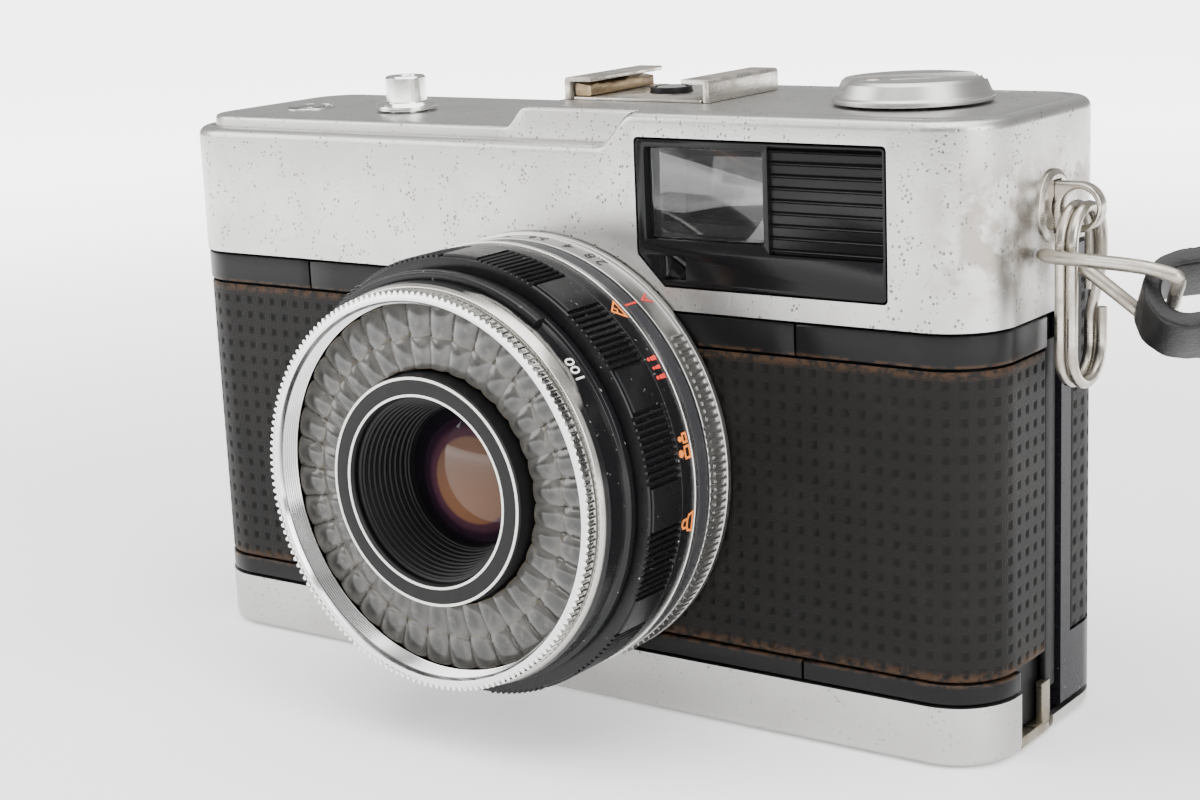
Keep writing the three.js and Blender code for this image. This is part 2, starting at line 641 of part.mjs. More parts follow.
function pressurePlate() {
  const y0 = CHASSIS_REAR + RAIL_HEIGHT + GAP;
  const plate = block(LENS_X - GATE_WIDTH / 2 - 7, LENS_X + GATE_WIDTH / 2 + 7,
    y0, y0 + PLATE_THICKNESS, LENS_Z - GATE_HEIGHT / 2 - 5, LENS_Z + GATE_HEIGHT / 2 + 5);
  const hole = disc(STUD_RADIUS + GAP, 0, HALF_DEPTH, 0, 0, 16);
  const holes = [-1, 1].map((side) => placed(hole, plateStudPlace(side)));
  return cut(plate, ...holes);
}

// ---- viewfinder ----

function finderBezel() {
  const back = FRONT + BEZEL_DEPTH;
  const face = FRONT + 0.1;
  const body = carried(finderOutline(0), face, back);
  const pane = block(FINDER_LEFT + BEZEL_BORDER, FINDER_DIVIDER - BEZEL_BORDER / 2,
    face - 1, back + 1, PANE_BOTTOM, FINDER_TOP - BEZEL_BORDER);
  const meterPort = block(FINDER_LEFT + 2.8, FINDER_LEFT + 6.4, face - 1, face + 1,
    FINDER_BOTTOM + 0.7, PANE_BOTTOM - 1.6);
  return cut(body, pane, meterPort);
}

function finderWindow() {
  const y0 = FRONT + PANE_RECESS;
  return block(FINDER_LEFT + BEZEL_BORDER + GAP, FINDER_DIVIDER - BEZEL_BORDER / 2 - GAP,
    y0, y0 + 0.8, PANE_BOTTOM + GAP, FINDER_TOP - BEZEL_BORDER - GAP);
}

function finderTube() {
  const y0 = FRONT + BEZEL_DEPTH + GAP;
  const y1 = HALF_DEPTH - WALL - 2 * GAP;
  const bottom = CHASSIS_TOP + GAP;
  const top = FINDER_TOP - BEZEL_BORDER;
  const left = FINDER_LEFT + BEZEL_BORDER;
  const right = FINDER_DIVIDER;
  const body = block(left, right, y0, y1, bottom, top);
  const bore = block(left + WALL, right - WALL, y0 - 1, y1 + 1, bottom + WALL, top - WALL);
  return cut(body, bore);
}

function eyepiece() {
  const y0 = HALF_DEPTH - WALL - GAP;
  const y1 = HALF_DEPTH + EYEPIECE_STANDOUT;
  const halfWidth = EYEPIECE_WIDTH / 2;
  const halfHeight = EYEPIECE_HEIGHT / 2;
  const body = block(EYEPIECE_X - halfWidth, EYEPIECE_X + halfWidth, y0, y1,
    FINDER_MIDDLE - halfHeight, FINDER_MIDDLE + halfHeight);
  const hollow = block(EYEPIECE_X - halfWidth + 1.6, EYEPIECE_X + halfWidth - 1.6, y0 + 0.8,
    y1 + 1, FINDER_MIDDLE - halfHeight + 1.4, FINDER_MIDDLE + halfHeight - 1.4);
  return cut(body, hollow);
}

// ---- lens ----

const APERTURE_BACK = GAP;
const APERTURE_FRONT = APERTURE_BACK + APERTURE_RING_LENGTH;
const INDEX_BACK = APERTURE_FRONT + GAP;
const INDEX_FRONT = INDEX_BACK + INDEX_RING_LENGTH;
const FOCUS_BACK = INDEX_FRONT + GAP;
const FOCUS_FRONT = FOCUS_BACK + FOCUS_RING_LENGTH;
const SPEED_BACK = FOCUS_FRONT + GAP;
const RIM_BACK = LENS_LENGTH - RIM_LENGTH;
const CELL_FRONT = LENS_LENGTH - CELL_DEPTH;
const CELL_BACK = CELL_FRONT - CELL_THICKNESS;
const CORE_FRONT = CELL_BACK - GAP;
const THROAT_OUTER = THROAT_RADIUS + 0.7;
const THROAT_BACK = LENS_LENGTH - FRONT_GLASS_DEPTH - 1.6;

function ring(back, front, outer, flange = 0) {
  const inner = CORE_RADIUS + GAP;
  return lensTurned([
    [inner, back], [outer + flange, back], [outer + flange, back + 1], [outer, back + 1],
    [outer, front - 0.4], [outer - 0.4, front], [inner, front],
  ]);
}

function lensCore() {
  const back = -INNER + GAP;
  const inner = BARREL_RADIUS - BARREL_WALL;
  return lensTurned([
    [CORE_RADIUS, CORE_FRONT], [CORE_RADIUS, 0], [FLANGE_RADIUS, 0], [FLANGE_RADIUS, back],
    [BARREL_RADIUS, back], [BARREL_RADIUS, back - REAR_BARREL_LENGTH],
    [REAR_GLASS_RADIUS + GAP, back - REAR_BARREL_LENGTH], [REAR_GLASS_RADIUS + GAP, back - 1.5],
    [inner, back - 1.5], [inner, CORE_FRONT - 1.5], [THROAT_OUTER + GAP, CORE_FRONT - 1.5],
    [THROAT_OUTER + GAP, CORE_FRONT],
  ]);
}

function frontRim() {
  const sleeve = SPEED_RADIUS - 1 - GAP;
  const inner = CORE_RADIUS + GAP;
  return lensTurned([
    [RIM_BORE, LENS_LENGTH], [RIM_RADIUS, LENS_LENGTH], [RIM_RADIUS, RIM_BACK],
    [sleeve, RIM_BACK], [sleeve, SPEED_BACK + 0.7], [inner, SPEED_BACK + 0.7],
    [inner, CELL_BACK - GAP], [RIM_BORE, CELL_BACK - GAP],
  ]);
}

function speedRing() {
  const outer = SPEED_RADIUS;
  return lensTurned([
    [outer - 1, SPEED_BACK], [outer + 0.5, SPEED_BACK], [outer + 0.5, SPEED_BACK + 1.2],
    [outer, SPEED_BACK + 1.2], [outer, RIM_BACK - GAP], [outer - 1, RIM_BACK - GAP],
  ]);
}

function cellRing() {
  return lensTurned([
    [NAME_RADIUS + GAP, CELL_BACK], [RIM_BORE - GAP, CELL_BACK],
    [RIM_BORE - GAP, CELL_FRONT - 0.4], [NAME_RADIUS + GAP, CELL_FRONT],
  ]);
}

function nameRing() {
  const front = LENS_LENGTH - 0.3;
  return lensTurned([
    [THROAT_RADIUS, front - 0.5], [THROAT_RADIUS + 0.2, front], [NAME_RADIUS - 0.3, front],
    [NAME_RADIUS, front - 0.5], [NAME_RADIUS, CELL_BACK], [NAME_RADIUS - 0.7, CELL_BACK],
    [NAME_RADIUS - 0.7, front - 0.8], [THROAT_RADIUS, front - 0.8],
  ]);
}

function lensThroat() {
  const front = LENS_LENGTH - 1.4;
  const opening = FRONT_GLASS_RADIUS + GAP;
  const collar = NAME_RADIUS - 0.7 - GAP;
  return lensTurned([
    [collar, front], [collar, CELL_BACK], [THROAT_OUTER, CELL_BACK],
    [THROAT_OUTER, THROAT_BACK], [opening, THROAT_BACK], [opening, THROAT_BACK + 1.6],
    [THROAT_RADIUS - 0.3, front],
  ]);
}

function frontGlass() {
  const seat = THROAT_BACK + 0.2;
  const rim = seat + 1.2;
  const crown = rim + 1.2;
  const r = FRONT_GLASS_RADIUS;
  return lensTurned([
    [0, seat], [r, seat], [r, rim], [r * 0.75, rim + 0.5], [r * 0.4, crown - 0.2], [0, crown],
  ]);
}

function rearGlass() {
  const r = REAR_GLASS_RADIUS;
  const back = -INNER - 4.5;
  return lensTurned([[0, back], [r * 0.6, back + 0.3], [r, back + 1], [r, back + 3], [0, back + 3]]);
}

function shutterPlate() {
  return lensTube(DIAPHRAGM_RADIUS, BARREL_RADIUS - BARREL_WALL - GAP, 4, 5);
}

// ---- shutter release, rewind, film advance ----

function shutterCollar() {
  const z0 = DECK_LOW + GAP;
  return turned([
    [SHUTTER_RADIUS + GAP, z0], [COLLAR_RADIUS, z0], [COLLAR_RADIUS, z0 + 0.7],
    [COLLAR_RADIUS - 0.3, z0 + 1], [SHUTTER_RADIUS + GAP, z0 + 1],
  ], SHUTTER_X, SHUTTER_Y);
}

function shutterButton() {
  const r = SHUTTER_RADIUS;
  const bore = SHUTTER_BORE;
  return turned([
    [0, SHUTTER_FOOT], [r, SHUTTER_FOOT], [r, SHUTTER_TOP - 0.3], [r - 0.3, SHUTTER_TOP], [bore, SHUTTER_TOP],
    [bore, SHUTTER_TOP - 2.5], [0, SHUTTER_TOP - 2.5],
  ], SHUTTER_X, SHUTTER_Y, 28);
}

const KNOB_BOTTOM = DECK_HIGH + GAP;
const KNOB_TOP = KNOB_BOTTOM + KNOB_HEIGHT;
const CRANK_ANGLE = 35; // degrees from +X, lying across the knob
const CRANK_SEAT = KNOB_TOP - CRANK_THICKNESS - GAP;
const CRANK_PIVOT = -5.4; // from the knob's middle, along the crank
const CRANK_TIP = 7.4;
const CRANK_HEEL = 0.6; // short enough to clear the knob as the crank folds over

// Turns a body drawn about the knob's middle along +X to the crank's direction.
function onKnob(body) {
  return placed(body, turnedAbout(Z_AXIS, CRANK_ANGLE, CASSETTE_X, CHAMBER_Y));
}

function rewindKnob() {
  const r = KNOB_RADIUS;
  const dish = turned([
    [0, KNOB_BOTTOM], [r, KNOB_BOTTOM], [r, KNOB_BOTTOM + 0.5], [r - 0.8, KNOB_TOP - 0.2],
    [r - 1.1, KNOB_TOP], [0, KNOB_TOP],
  ], CASSETTE_X, CHAMBER_Y, 30);
  const slot = onKnob(block(-r - 1, CRANK_TIP + GAP, -CRANK_WIDTH / 2 - GAP,
    CRANK_WIDTH / 2 + GAP, CRANK_SEAT - GAP, BIG));
  const notch = onKnob(block(CRANK_TIP - 1.5, r + 1, -1.8, 1.8, CRANK_SEAT - GAP, BIG));
  return cut(dish, slot, notch);
}

function rewindCrank() {
  const half = CRANK_WIDTH / 2;
  const plan = roundedRectangle(CRANK_PIVOT - CRANK_HEEL, CRANK_TIP, -half, half, 0.5);
  const blade = raised(plan, CRANK_SEAT, CRANK_SEAT + CRANK_THICKNESS, 3);
  return onKnob(blade);
}

function rewindShaft() {
  const top = KNOB_BOTTOM - GAP;
  const forkTop = CHAMBER_TOP - 1;
  const forkBottom = CHAMBER_TOP - 7;
  const shaft = disc(SHAFT_RADIUS, forkBottom, top, CASSETTE_X, CHAMBER_Y, 20);
  const slot = block(CASSETTE_X - 0.7, CASSETTE_X + 0.7, CHAMBER_Y - 4, CHAMBER_Y + 4,
    forkBottom - 1, forkTop - 2.5);
  return cut(shaft, slot);
}

function rewindSleeve() {
  return tube(SHAFT_RADIUS + 0.08, SLEEVE_RADIUS, CHASSIS_TOP + GAP, DECK_HIGH - 0.2,
    CASSETTE_X, CHAMBER_Y, 24);
}

function advanceWheel() {
  const r = WHEEL_RADIUS;
  const z0 = WHEEL_BOTTOM;
  const z1 = WHEEL_BOTTOM + WHEEL_THICKNESS;
  const hub = SHAFT_RADIUS;
  return turned([
    [0, CHASSIS_TOP - 2], [hub, CHASSIS_TOP - 2], [hub, z0], [r - 0.4, z0], [r, z0 + 0.4],
    [r, z1 - 0.4], [r - 0.4, z1], [0, z1],
  ], WHEEL_X, WHEEL_Y, 28);
}

function takeupSpool() {
  const z0 = CHAMBER_BOTTOM + 0.5;
  const z1 = CHAMBER_TOP - 0.5;
  const spool = turned([
    [0, z0], [8, z0], [8, z0 + 1], [5, z0 + 1], [5, z1 - 1], [8, z1 - 1], [8, z1],
    [SHAFT_RADIUS, z1], [SHAFT_RADIUS, CHASSIS_TOP + 1], [0, CHASSIS_TOP + 1],
  ], SPOOL_X, CHAMBER_Y, 24);
  const slot = block(3, 6, -0.6, 0.6, z0 + 6, z1 - 6);
  const slots = [0, 120, 240].map(
    (angle) => placed(slot, turnedAbout(Z_AXIS, angle, SPOOL_X, CHAMBER_Y)),
  );
  return cut(spool, ...slots);
}

function sprocket() {
  const teeth = 6;
  const low = LENS_Z - GATE_HEIGHT / 2 - 2.5;
  const high = LENS_Z + GATE_HEIGHT / 2 + 2.5;
  const r = SPROCKET_RADIUS - 0.9;
  const axle = SPROCKET_AXLE;
  const body = turned([
    [0, CHAMBER_BOTTOM + 0.5], [axle, CHAMBER_BOTTOM + 0.5], [axle, low - 1.5], [r, low - 1.5],
    [r, low + 1.5], [2 * axle, low + 1.5], [2 * axle, high - 1.5], [r, high - 1.5],
    [r, high + 1.5], [axle, high + 1.5], [axle, CHAMBER_TOP - 0.5], [0, CHAMBER_TOP - 0.5],
  ], SPROCKET_X, SPROCKET_Y, 16);
  const cogs = [];
  for (const z of [low, high]) {
    for (let i = 0; i < teeth; i += 1) {
      const cog = block(r - 0.5, SPROCKET_RADIUS, -0.7, 0.7, z - 0.7, z + 0.7);
      cogs.push(placed(cog, turnedAbout(Z_AXIS, (360 * i) / teeth, SPROCKET_X, SPROCKET_Y)));
    }
  }
  return join(body, ...cogs);
}

function counterDial() {
  const z = DECK_LOW - WALL - 1.6;
  return disc(COUNTER_DIAL_RADIUS, z - 0.8, z, COUNTER_X, COUNTER_Y);
}

function counterWindow() {
  return disc(COUNTER_WINDOW_RADIUS, DECK_LOW - 0.9, DECK_LOW + 0.1, COUNTER_X, COUNTER_Y);
}

// ---- accessory shoe ----

const SHOE_BOTTOM = DECK_HIGH + GAP;
const SHOE_TOP = SHOE_BOTTOM + SHOE_HEIGHT;
const SHOE_BACK = SHOE_FRONT + SHOE_LENGTH;

function shoeRail(side) {
  const inner = SHOE_X + (side * SHOE_SLOT) / 2;
  const outer = inner + side * SHOE_WALL;
  const lipEnd = inner - side * SHOE_LIP;
  const wall = block(Math.min(inner, outer), Math.max(inner, outer), SHOE_FRONT, SHOE_BACK,
    SHOE_BOTTOM, SHOE_TOP);
  const lip = block(Math.min(lipEnd, outer), Math.max(lipEnd, outer), SHOE_FRONT, SHOE_BACK,
    SHOE_TOP - SHOE_WALL, SHOE_TOP);
  return join(wall, lip);
}

function shoePlate() {
  const half = SHOE_SLOT / 2 - GAP;
  return block(SHOE_X - half, SHOE_X + half, SHOE_FRONT, SHOE_BACK, SHOE_BOTTOM, SHOE_BOTTOM + 0.4);
}

function shoeContact() {
  return disc(2.4, SHOE_BOTTOM + 0.4 + GAP, SHOE_BOTTOM + 1.1, SHOE_X, (SHOE_FRONT + SHOE_BACK) / 2);
}

function shoeSpring() {
  const left = SHOE_X - SHOE_SLOT / 2 + GAP;
  return block(left, left + SHOE_LIP - 2 * GAP, SHOE_FRONT + 0.6, SHOE_BACK - 1.5,
    SHOE_BOTTOM + 0.4 + GAP, SHOE_TOP - SHOE_WALL - GAP);
}

// ---- base fittings ----

function tripodBush() {
  return tube(TRIPOD_BORE, TRIPOD_RADIUS, 0, TRIPOD_TOP, TRIPOD_X, 0);
}

function rewindRelease() {
  return disc(RELEASE_RADIUS, 0.2, RELEASE_TOP, RELEASE_X, RELEASE_Y, 20);
}

function baseScrew(x) {
  const head = disc(SCREW_RADIUS, 0.15, WALL, x, 0, 16);
  const slot = block(x - 3, x + 3, -0.3, 0.3, -1, 0.6);
  return cut(head, slot);
}

// ---- strap fittings ----

function strapLug(side) {
  const tail = HALF_WIDTH - WALL - 1;
  const tip = HALF_WIDTH + LUG_REACH;
  const half = LUG_HEIGHT / 2;
  const shape = new THREE.Shape();
  shape.moveTo(tail, LUG_Z - half);
  shape.lineTo(tip - half, LUG_Z - half);
  shape.absarc(tip - half, LUG_Z, half, -Math.PI / 2, Math.PI / 2);
  shape.lineTo(tail, LUG_Z + half);
  const hole = new THREE.Path();
  hole.absarc(HALF_WIDTH + LUG_HOLE_X, LUG_Z, LUG_HOLE_RADIUS, 0, 2 * Math.PI);
  shape.holes.push(hole);
  const plate = carried(shape, -LUG_THICKNESS / 2, LUG_THICKNESS / 2, 10);
  return side > 0 ? plate : placed(plate, turnedAbout(Z_AXIS, 180));
}

const RING_X = HALF_WIDTH + LUG_HOLE_X;
const RING_TOP = LUG_Z + RING_WIRE / 2 + 0.1;

// A long loop in the YZ plane with two turns of wire side by side.
function stadium(width, height) {
  const r = width / 2;
  const reach = height / 2 - r;
  const shape = new THREE.Shape();
  shape.moveTo(r, -reach);
  shape.lineTo(r, reach);
  shape.absarc(0, reach, r, 0, Math.PI);
  shape.lineTo(-r, -reach);
  shape.absarc(0, -reach, r, Math.PI, 2 * Math.PI);
  return shape;
}

function splitRing() {
  const turns = 2 * RING_WIRE;
  const outer = raised(stadium(RING_WIDTH, RING_HEIGHT), 0, turns);
  const inner = raised(stadium(RING_WIDTH - 2 * RING_WIRE, RING_HEIGHT - 2 * RING_WIRE),
    -1, turns + 1);
  const upright = new THREE.Matrix4().set(
    0, 0, 1, RING_X - turns / 2,
    1, 0, 0, 0,
    0, 1, 0, RING_TOP - RING_HEIGHT / 2,
    0, 0, 0, 1,
  );
  return placed(cut(outer, inner), upright);
}

// Places given as steps from the lug's hole.
function fromLug([x, y, z]) {
  return [RING_X + x, y, LUG_Z + z];
}

// The link is one bent wire: round the ring's front wires, out to the strap and back.
const LINK_POINTS = [
  [12, -4.3, -8.8], [12.9, -5.8, -7.3], [13.8, -7.4, -5.7], [13.2, -8, -5.1],
  [9.8, -7.6, -4.6], [4.6, -6.8, -4.5], [0.1, -6.1, -4.5], [-1.8, -5.3, -4.5],
  [-2.4, -3.9, -4.8], [-1.3, -2.2, -5.4], [1.4, -2, -6.4], [4.8, -1.4, -8.9],
  [7.9, -0.5, -11.5], [9.2, -0.2, -12.3], [10.1, -0.9, -11.8], [11, -2.5, -10.4],
  [11.5, -3.4, -9.6],
].map(fromLug);

function wireLink() {
  return wire(LINK_POINTS, LINK_WIRE, 4, 38);
}

// The strap is folded round the link's outer bar and runs outwards from it.
const FOLD_AXIS = new THREE.Vector3(0.4, -0.67, 0.62).normalize();
const FOLD_RUN = new THREE.Vector3(0.82, 0.565, 0.094)
  .projectOnPlane(FOLD_AXIS).normalize();
const FOLD_CENTRE = new THREE.Vector3(...fromLug([12.7, -3.1, -9.1]));

// Places a body drawn along X (run), Y (across) and Z (fold axis) on the strap's fold.
function onFold(body) {
  const across = FOLD_AXIS.clone().cross(FOLD_RUN);
  const place = new THREE.Matrix4().makeBasis(FOLD_RUN, across, FOLD_AXIS)
    .setPosition(FOLD_CENTRE);
  return placed(body, place);
}

function strapEnd() {
  const r = STRAP_FOLD_RADIUS;
  const outer = raised(foldOutline(r), -STRAP_WIDTH / 2, STRAP_WIDTH / 2);
  const inner = raised(foldOutline(r - STRAP_THICKNESS), -STRAP_WIDTH, STRAP_WIDTH);
  return onFold(cut(outer, inner));
}

function foldOutline(r) {
  const shape = new THREE.Shape();
  shape.moveTo(0, -r);
  shape.lineTo(STRAP_FOLD_RUN, -r);
  shape.absarc(STRAP_FOLD_RUN, 0, r, -Math.PI / 2, Math.PI / 2);
  shape.lineTo(0, r);
  shape.absarc(0, 0, r, Math.PI / 2, 1.5 * Math.PI);
  return shape;
}

function strapClasp() {
  const near = STRAP_FOLD_RUN + STRAP_FOLD_RADIUS + GAP;
  return onFold(block(near, near + STRAP_CLASP_LENGTH, -2.4, 2.4,
    -STRAP_WIDTH / 2 - 0.6, STRAP_WIDTH / 2 + 0.6));
}

// A point on the clasp's outer face, to one side of its middle.
function claspMouth(run, side) {
  const face = STRAP_FOLD_RUN + STRAP_FOLD_RADIUS + GAP + STRAP_CLASP_LENGTH;
  const spread = side * (STRAP_TUBE / 2 + GAP);
  const point = FOLD_CENTRE.clone().addScaledVector(FOLD_RUN, face + GAP + run)
    .addScaledVector(FOLD_AXIS, spread);
  return point.toArray();
}

// The strap's way down to the table and back: sideways from the lug's hole, heights
// above the table on the low part and following the lug on the high part.
const STRAP_ROUTE = [
  [36.6, 12.5, 54.2], [43.6, 16, 48.5], [49.1, 19, 38.5], [52.6, 21.5, 26], [56.1, 24, 15],
  [61.6, 27.5, 6.6], [69.6, 31, 2.6], [79.6, 33, 1.7], [89.6, 31.5, 1.7], [97.6, 25, 1.7],
  [100.6, 15, 1.7], [98.1, 5, 1.7], [90.6, -2, 1.7], [80.6, -5, 1.7], [69.6, -4.5, 2.6],
  [61.1, -2, 7], [55.1, 0.4, 15], [49.6, 2.6, 25], [44.6, 4.6, 35], [39.6, 6.6, 43.5],
  [34.6, 8.2, 49.4],
];
const DRAWN_LUG_Z = 60.3; // the lug height for which the route is drawn

function strapPoint([x, y, z]) {
  const low = STRAP_TUBE / 2 + 0.1;
  const share = (z - low) / (DRAWN_LUG_Z - low);
  return [RING_X + x, y, low + share * (LUG_Z - low)];
}

const STRAP_POINTS = [
  claspMouth(0, 1), claspMouth(1.5, 1), ...STRAP_ROUTE.map(strapPoint),
  claspMouth(1.5, -1), claspMouth(0, -1),
];

function wristStrap() {
  return wire(STRAP_POINTS, STRAP_TUBE, 4, 54);
}

// ---- assembly ----

piece('chassis', chassis(), BLACK_PAINT);
piece('top_cover', topCover(), SATIN_CHROME);
piece('base_cover', baseCover(), SATIN_CHROME);
addSkins();

piece('rear_door', rearDoor(), BLACK_PAINT);
piece('door_leather', doorLeather(), LEATHERETTE);
piece('pressure_plate', pressurePlate(), BLACK_PAINT);
piece('hinge_pin', disc(HINGE_PIN_RADIUS, DOOR_BOTTOM + 0.5, COVER_EDGE_LEFT - GAP,
  HINGE_X, HINGE_Y, 16), STEEL);
piece('door_latch', doorLatch(), STEEL);

piece('finder_bezel', finderBezel(), BLACK_PLASTIC);
piece('finder_window', finderWindow(), CLEAR_GLASS);
piece('finder_tube', finderTube(), BLACK_PLASTIC);
piece('eyepiece', eyepiece(), BLACK_PLASTIC);

piece('lens_core', lensCore(), BLACK_PAINT);
piece('aperture_ring', ring(APERTURE_BACK, APERTURE_FRONT, RING_RADIUS, 0.2), SATIN_CHROME);
piece('index_ring', ring(INDEX_BACK, INDEX_FRONT, RING_RADIUS), BLACK_PAINT);
piece('focus_ring', ring(FOCUS_BACK, FOCUS_FRONT, RING_RADIUS), BLACK_PAINT);
piece('speed_ring', speedRing(), BLACK_PAINT);
piece('front_rim', frontRim(), BRIGHT_CHROME);
piece('cell_ring', cellRing(), CELL_GREY);
piece('name_ring', nameRing(), BLACK_PAINT);
piece('lens_throat', lensThroat(), BLACK_PAINT);
piece('front_glass', frontGlass(), AMBER_GLASS);
piece('shutter_plate', shutterPlate(), BLACK_PAINT);
piece('rear_glass', rearGlass(), CLEAR_GLASS);

piece('shutter_collar', shutterCollar(), BRIGHT_CHROME);
piece('shutter_button', shutterButton(), BRIGHT_CHROME);
piece('rewind_knob', rewindKnob(), SATIN_CHROME);
piece('rewind_crank', rewindCrank(), SATIN_CHROME);
piece('rewind_shaft', rewindShaft(), STEEL);
piece('rewind_sleeve', rewindSleeve(), STEEL);
piece('advance_wheel', advanceWheel(), BLACK_PLASTIC);
piece('takeup_spool', takeupSpool(), BLACK_PLASTIC);
piece('sprocket', sprocket(), STEEL);
piece('counter_dial', counterDial(), BLACK_PAINT);
piece('counter_window', counterWindow(), CLEAR_GLASS);

piece('shoe_plate', shoePlate(), STEEL);
piece('shoe_rail_left', shoeRail(-1), STEEL);
piece('shoe_rail_right', shoeRail(1), STEEL);
piece('shoe_contact', shoeContact(), STEEL);
piece('shoe_spring', shoeSpring(), BRASS);

piece('tripod_bush', tripodBush(), STEEL);
piece('rewind_release', rewindRelease(), STEEL);
piece('base_screw_left', baseScrew(-SCREW_X), STEEL);
piece('base_screw_right', baseScrew(SCREW_X), STEEL);

piece('strap_lug_right', strapLug(1), STEEL);
piece('strap_lug_left', strapLug(-1), STEEL);
piece('split_ring', splitRing(), STEEL);
piece('wire_link', wireLink(), STEEL);
piece('strap_end', strapEnd(), STRAP_LEATHER);
piece('strap_clasp', strapClasp(), BRIGHT_CHROME);
piece('wrist_strap', wristStrap(), STRAP_LEATHER);

export default camera;
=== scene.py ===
# %% [markdown]
# # A compact viewfinder camera, dressed for its portrait
#
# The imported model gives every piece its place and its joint. This lesson builds the
# surfaces a person sees round that frame: rolled covers, pressed leather, knurled
# rings, glass, springs and a leather wrist strap. Sizes are written in millimetres
# and turned into metres where a mesh is made.

# %% The frame and its sizes
import math
import bmesh
import bpy
import numpy as np
from mathutils import Matrix, Vector


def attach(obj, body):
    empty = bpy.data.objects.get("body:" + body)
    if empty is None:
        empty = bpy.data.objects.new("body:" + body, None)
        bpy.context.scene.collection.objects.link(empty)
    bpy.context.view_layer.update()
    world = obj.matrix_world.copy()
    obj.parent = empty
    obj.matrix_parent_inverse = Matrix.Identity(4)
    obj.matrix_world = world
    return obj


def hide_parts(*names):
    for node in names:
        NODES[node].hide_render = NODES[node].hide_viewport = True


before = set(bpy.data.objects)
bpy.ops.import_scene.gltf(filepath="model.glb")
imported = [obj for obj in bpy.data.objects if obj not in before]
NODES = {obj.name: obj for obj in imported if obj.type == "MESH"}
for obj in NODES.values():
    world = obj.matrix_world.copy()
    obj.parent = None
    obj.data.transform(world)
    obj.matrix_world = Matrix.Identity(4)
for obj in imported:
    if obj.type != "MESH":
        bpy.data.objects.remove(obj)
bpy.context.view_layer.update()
MM = 0.001
BODY = "camera_body"

# %% [markdown]
# ## The camera that looks at it
#
# A long lens from the right and a little above flattens the body as a product
# portrait does. Its place and turn are set from angles, so they can be read as
# "36 degrees round, 13 degrees down, a slight roll".

# %% The viewpoint
EYE = Vector((160.91, -226.48, 97.64)) * MM
AZIMUTH = math.radians(35.91)
ELEVATION = math.radians(13.085)
ROLL = -0.043


def look_from(eye, azimuth, elevation, roll, lens):
    look = Vector((-math.sin(azimuth) * math.cos(elevation),
                   math.cos(azimuth) * math.cos(elevation), -math.sin(elevation)))
    right = Vector((math.cos(azimuth), math.sin(azimuth), 0))
    up = right.cross(look)
    turned_right = right * math.cos(roll) + up * math.sin(roll)
    turned_up = up * math.cos(roll) - right * math.sin(roll)
    data = bpy.data.cameras.new("viewpoint")
    data.lens = lens
    data.sensor_width = 36
    data.clip_start = 0.01
    data.clip_end = 20
    camera = bpy.data.objects.new("viewpoint", data)
    turn = Matrix((turned_right, turned_up, -look)).transposed().to_4x4()
    camera.matrix_world = Matrix.Translation(eye) @ turn
    bpy.context.scene.collection.objects.link(camera)
    bpy.context.scene.camera = camera
    return camera


viewpoint = look_from(EYE, AZIMUTH, ELEVATION, ROLL, 68.6)
print("camera stands", round(EYE.length, 3), "m from the origin")

# %% [markdown]
# ## Meshes from rules
#
# Most of the camera is turned, rolled or swept: a profile carried round an axis or
# along the body's outline. A few helpers do this. Each returns points and faces, and
# `make` turns them into a closed, outward-facing piece that rides on its body.


# %% Profiles with rounded corners
def fillet(points, radius, steps=4):
    """A closed outline whose corners are rounded; radius is a number or a list."""
    count = len(points)
    radii = [radius] * count if isinstance(radius, (int, float)) else radius
    out = []
    for i in range(count):
        here = Vector(points[i])
        before = Vector(points[i - 1]) - here
        after = Vector(points[(i + 1) % count]) - here
        angle = before.angle(after, math.pi) if before.length and after.length else math.pi
        if radii[i] <= 0 or angle > math.radians(172):
            out.append(tuple(here))
            continue
        reach = min(radii[i] / math.tan(angle / 2), 0.48 * before.length, 0.48 * after.length)
        a = here + before.normalized() * reach
        b = here + after.normalized() * reach
        for k in range(steps + 1):
            t = k / steps
            out.append(tuple(a * (1 - t) ** 2 + here * 2 * t * (1 - t) + b * t * t))
    return out


def lathe(profile, segments=96, start=0.0, sweep=360.0):
    """A closed (radius, height) profile turned about Z, as points and faces."""
    whole = sweep >= 360
    columns = segments if whole else segments + 1
    verts = []
    for i in range(columns):
        angle = math.radians(start + sweep * i / segments)
        verts += [(r * math.cos(angle), r * math.sin(angle), h) for r, h in profile]
    n = len(profile)
    faces = []
    for i in range(segments):
        j = (i + 1) % columns
        for k in range(n):
            m = (k + 1) % n
            faces.append((i * n + k, j * n + k, j * n + m, i * n + m))
    if not whole:
        faces.append(tuple(range(n)))
        faces.append(tuple(reversed(range((columns - 1) * n, columns * n))))
    return np.array(verts, float), faces


LENS_X, LENS_Z, FRONT = 0.6, 30.8, -16.0


def reshaped(shape, rule):
    """The same faces over points that a rule makes from their x, y and z."""
    return np.column_stack(rule(*np.asarray(shape[0], float).T)), shape[1]


def moved(shape, dx=0.0, dy=0.0, dz=0.0):
    return reshaped(shape, lambda x, y, z: (x + dx, y + dy, z + dz))


def stood_up(shape):
    """A prism drawn in (x, z) with its height along y."""
    return reshaped(shape, lambda x, y, z: (x, z, y))


def thread_teeth(count, start, pitch, root, crest):
    """A zigzag profile of (radius, height) points that climbs by pitch from start."""
    return [point for k in range(count)
            for point in ((root, start + k * pitch), (crest, start + (k + 0.5) * pitch))]


def on_lens(shape):
    """From a frame whose Z runs out along the lens to the camera's own frame."""
    return reshaped(shape, lambda x, y, z: (x + LENS_X, FRONT - z, y + LENS_Z))


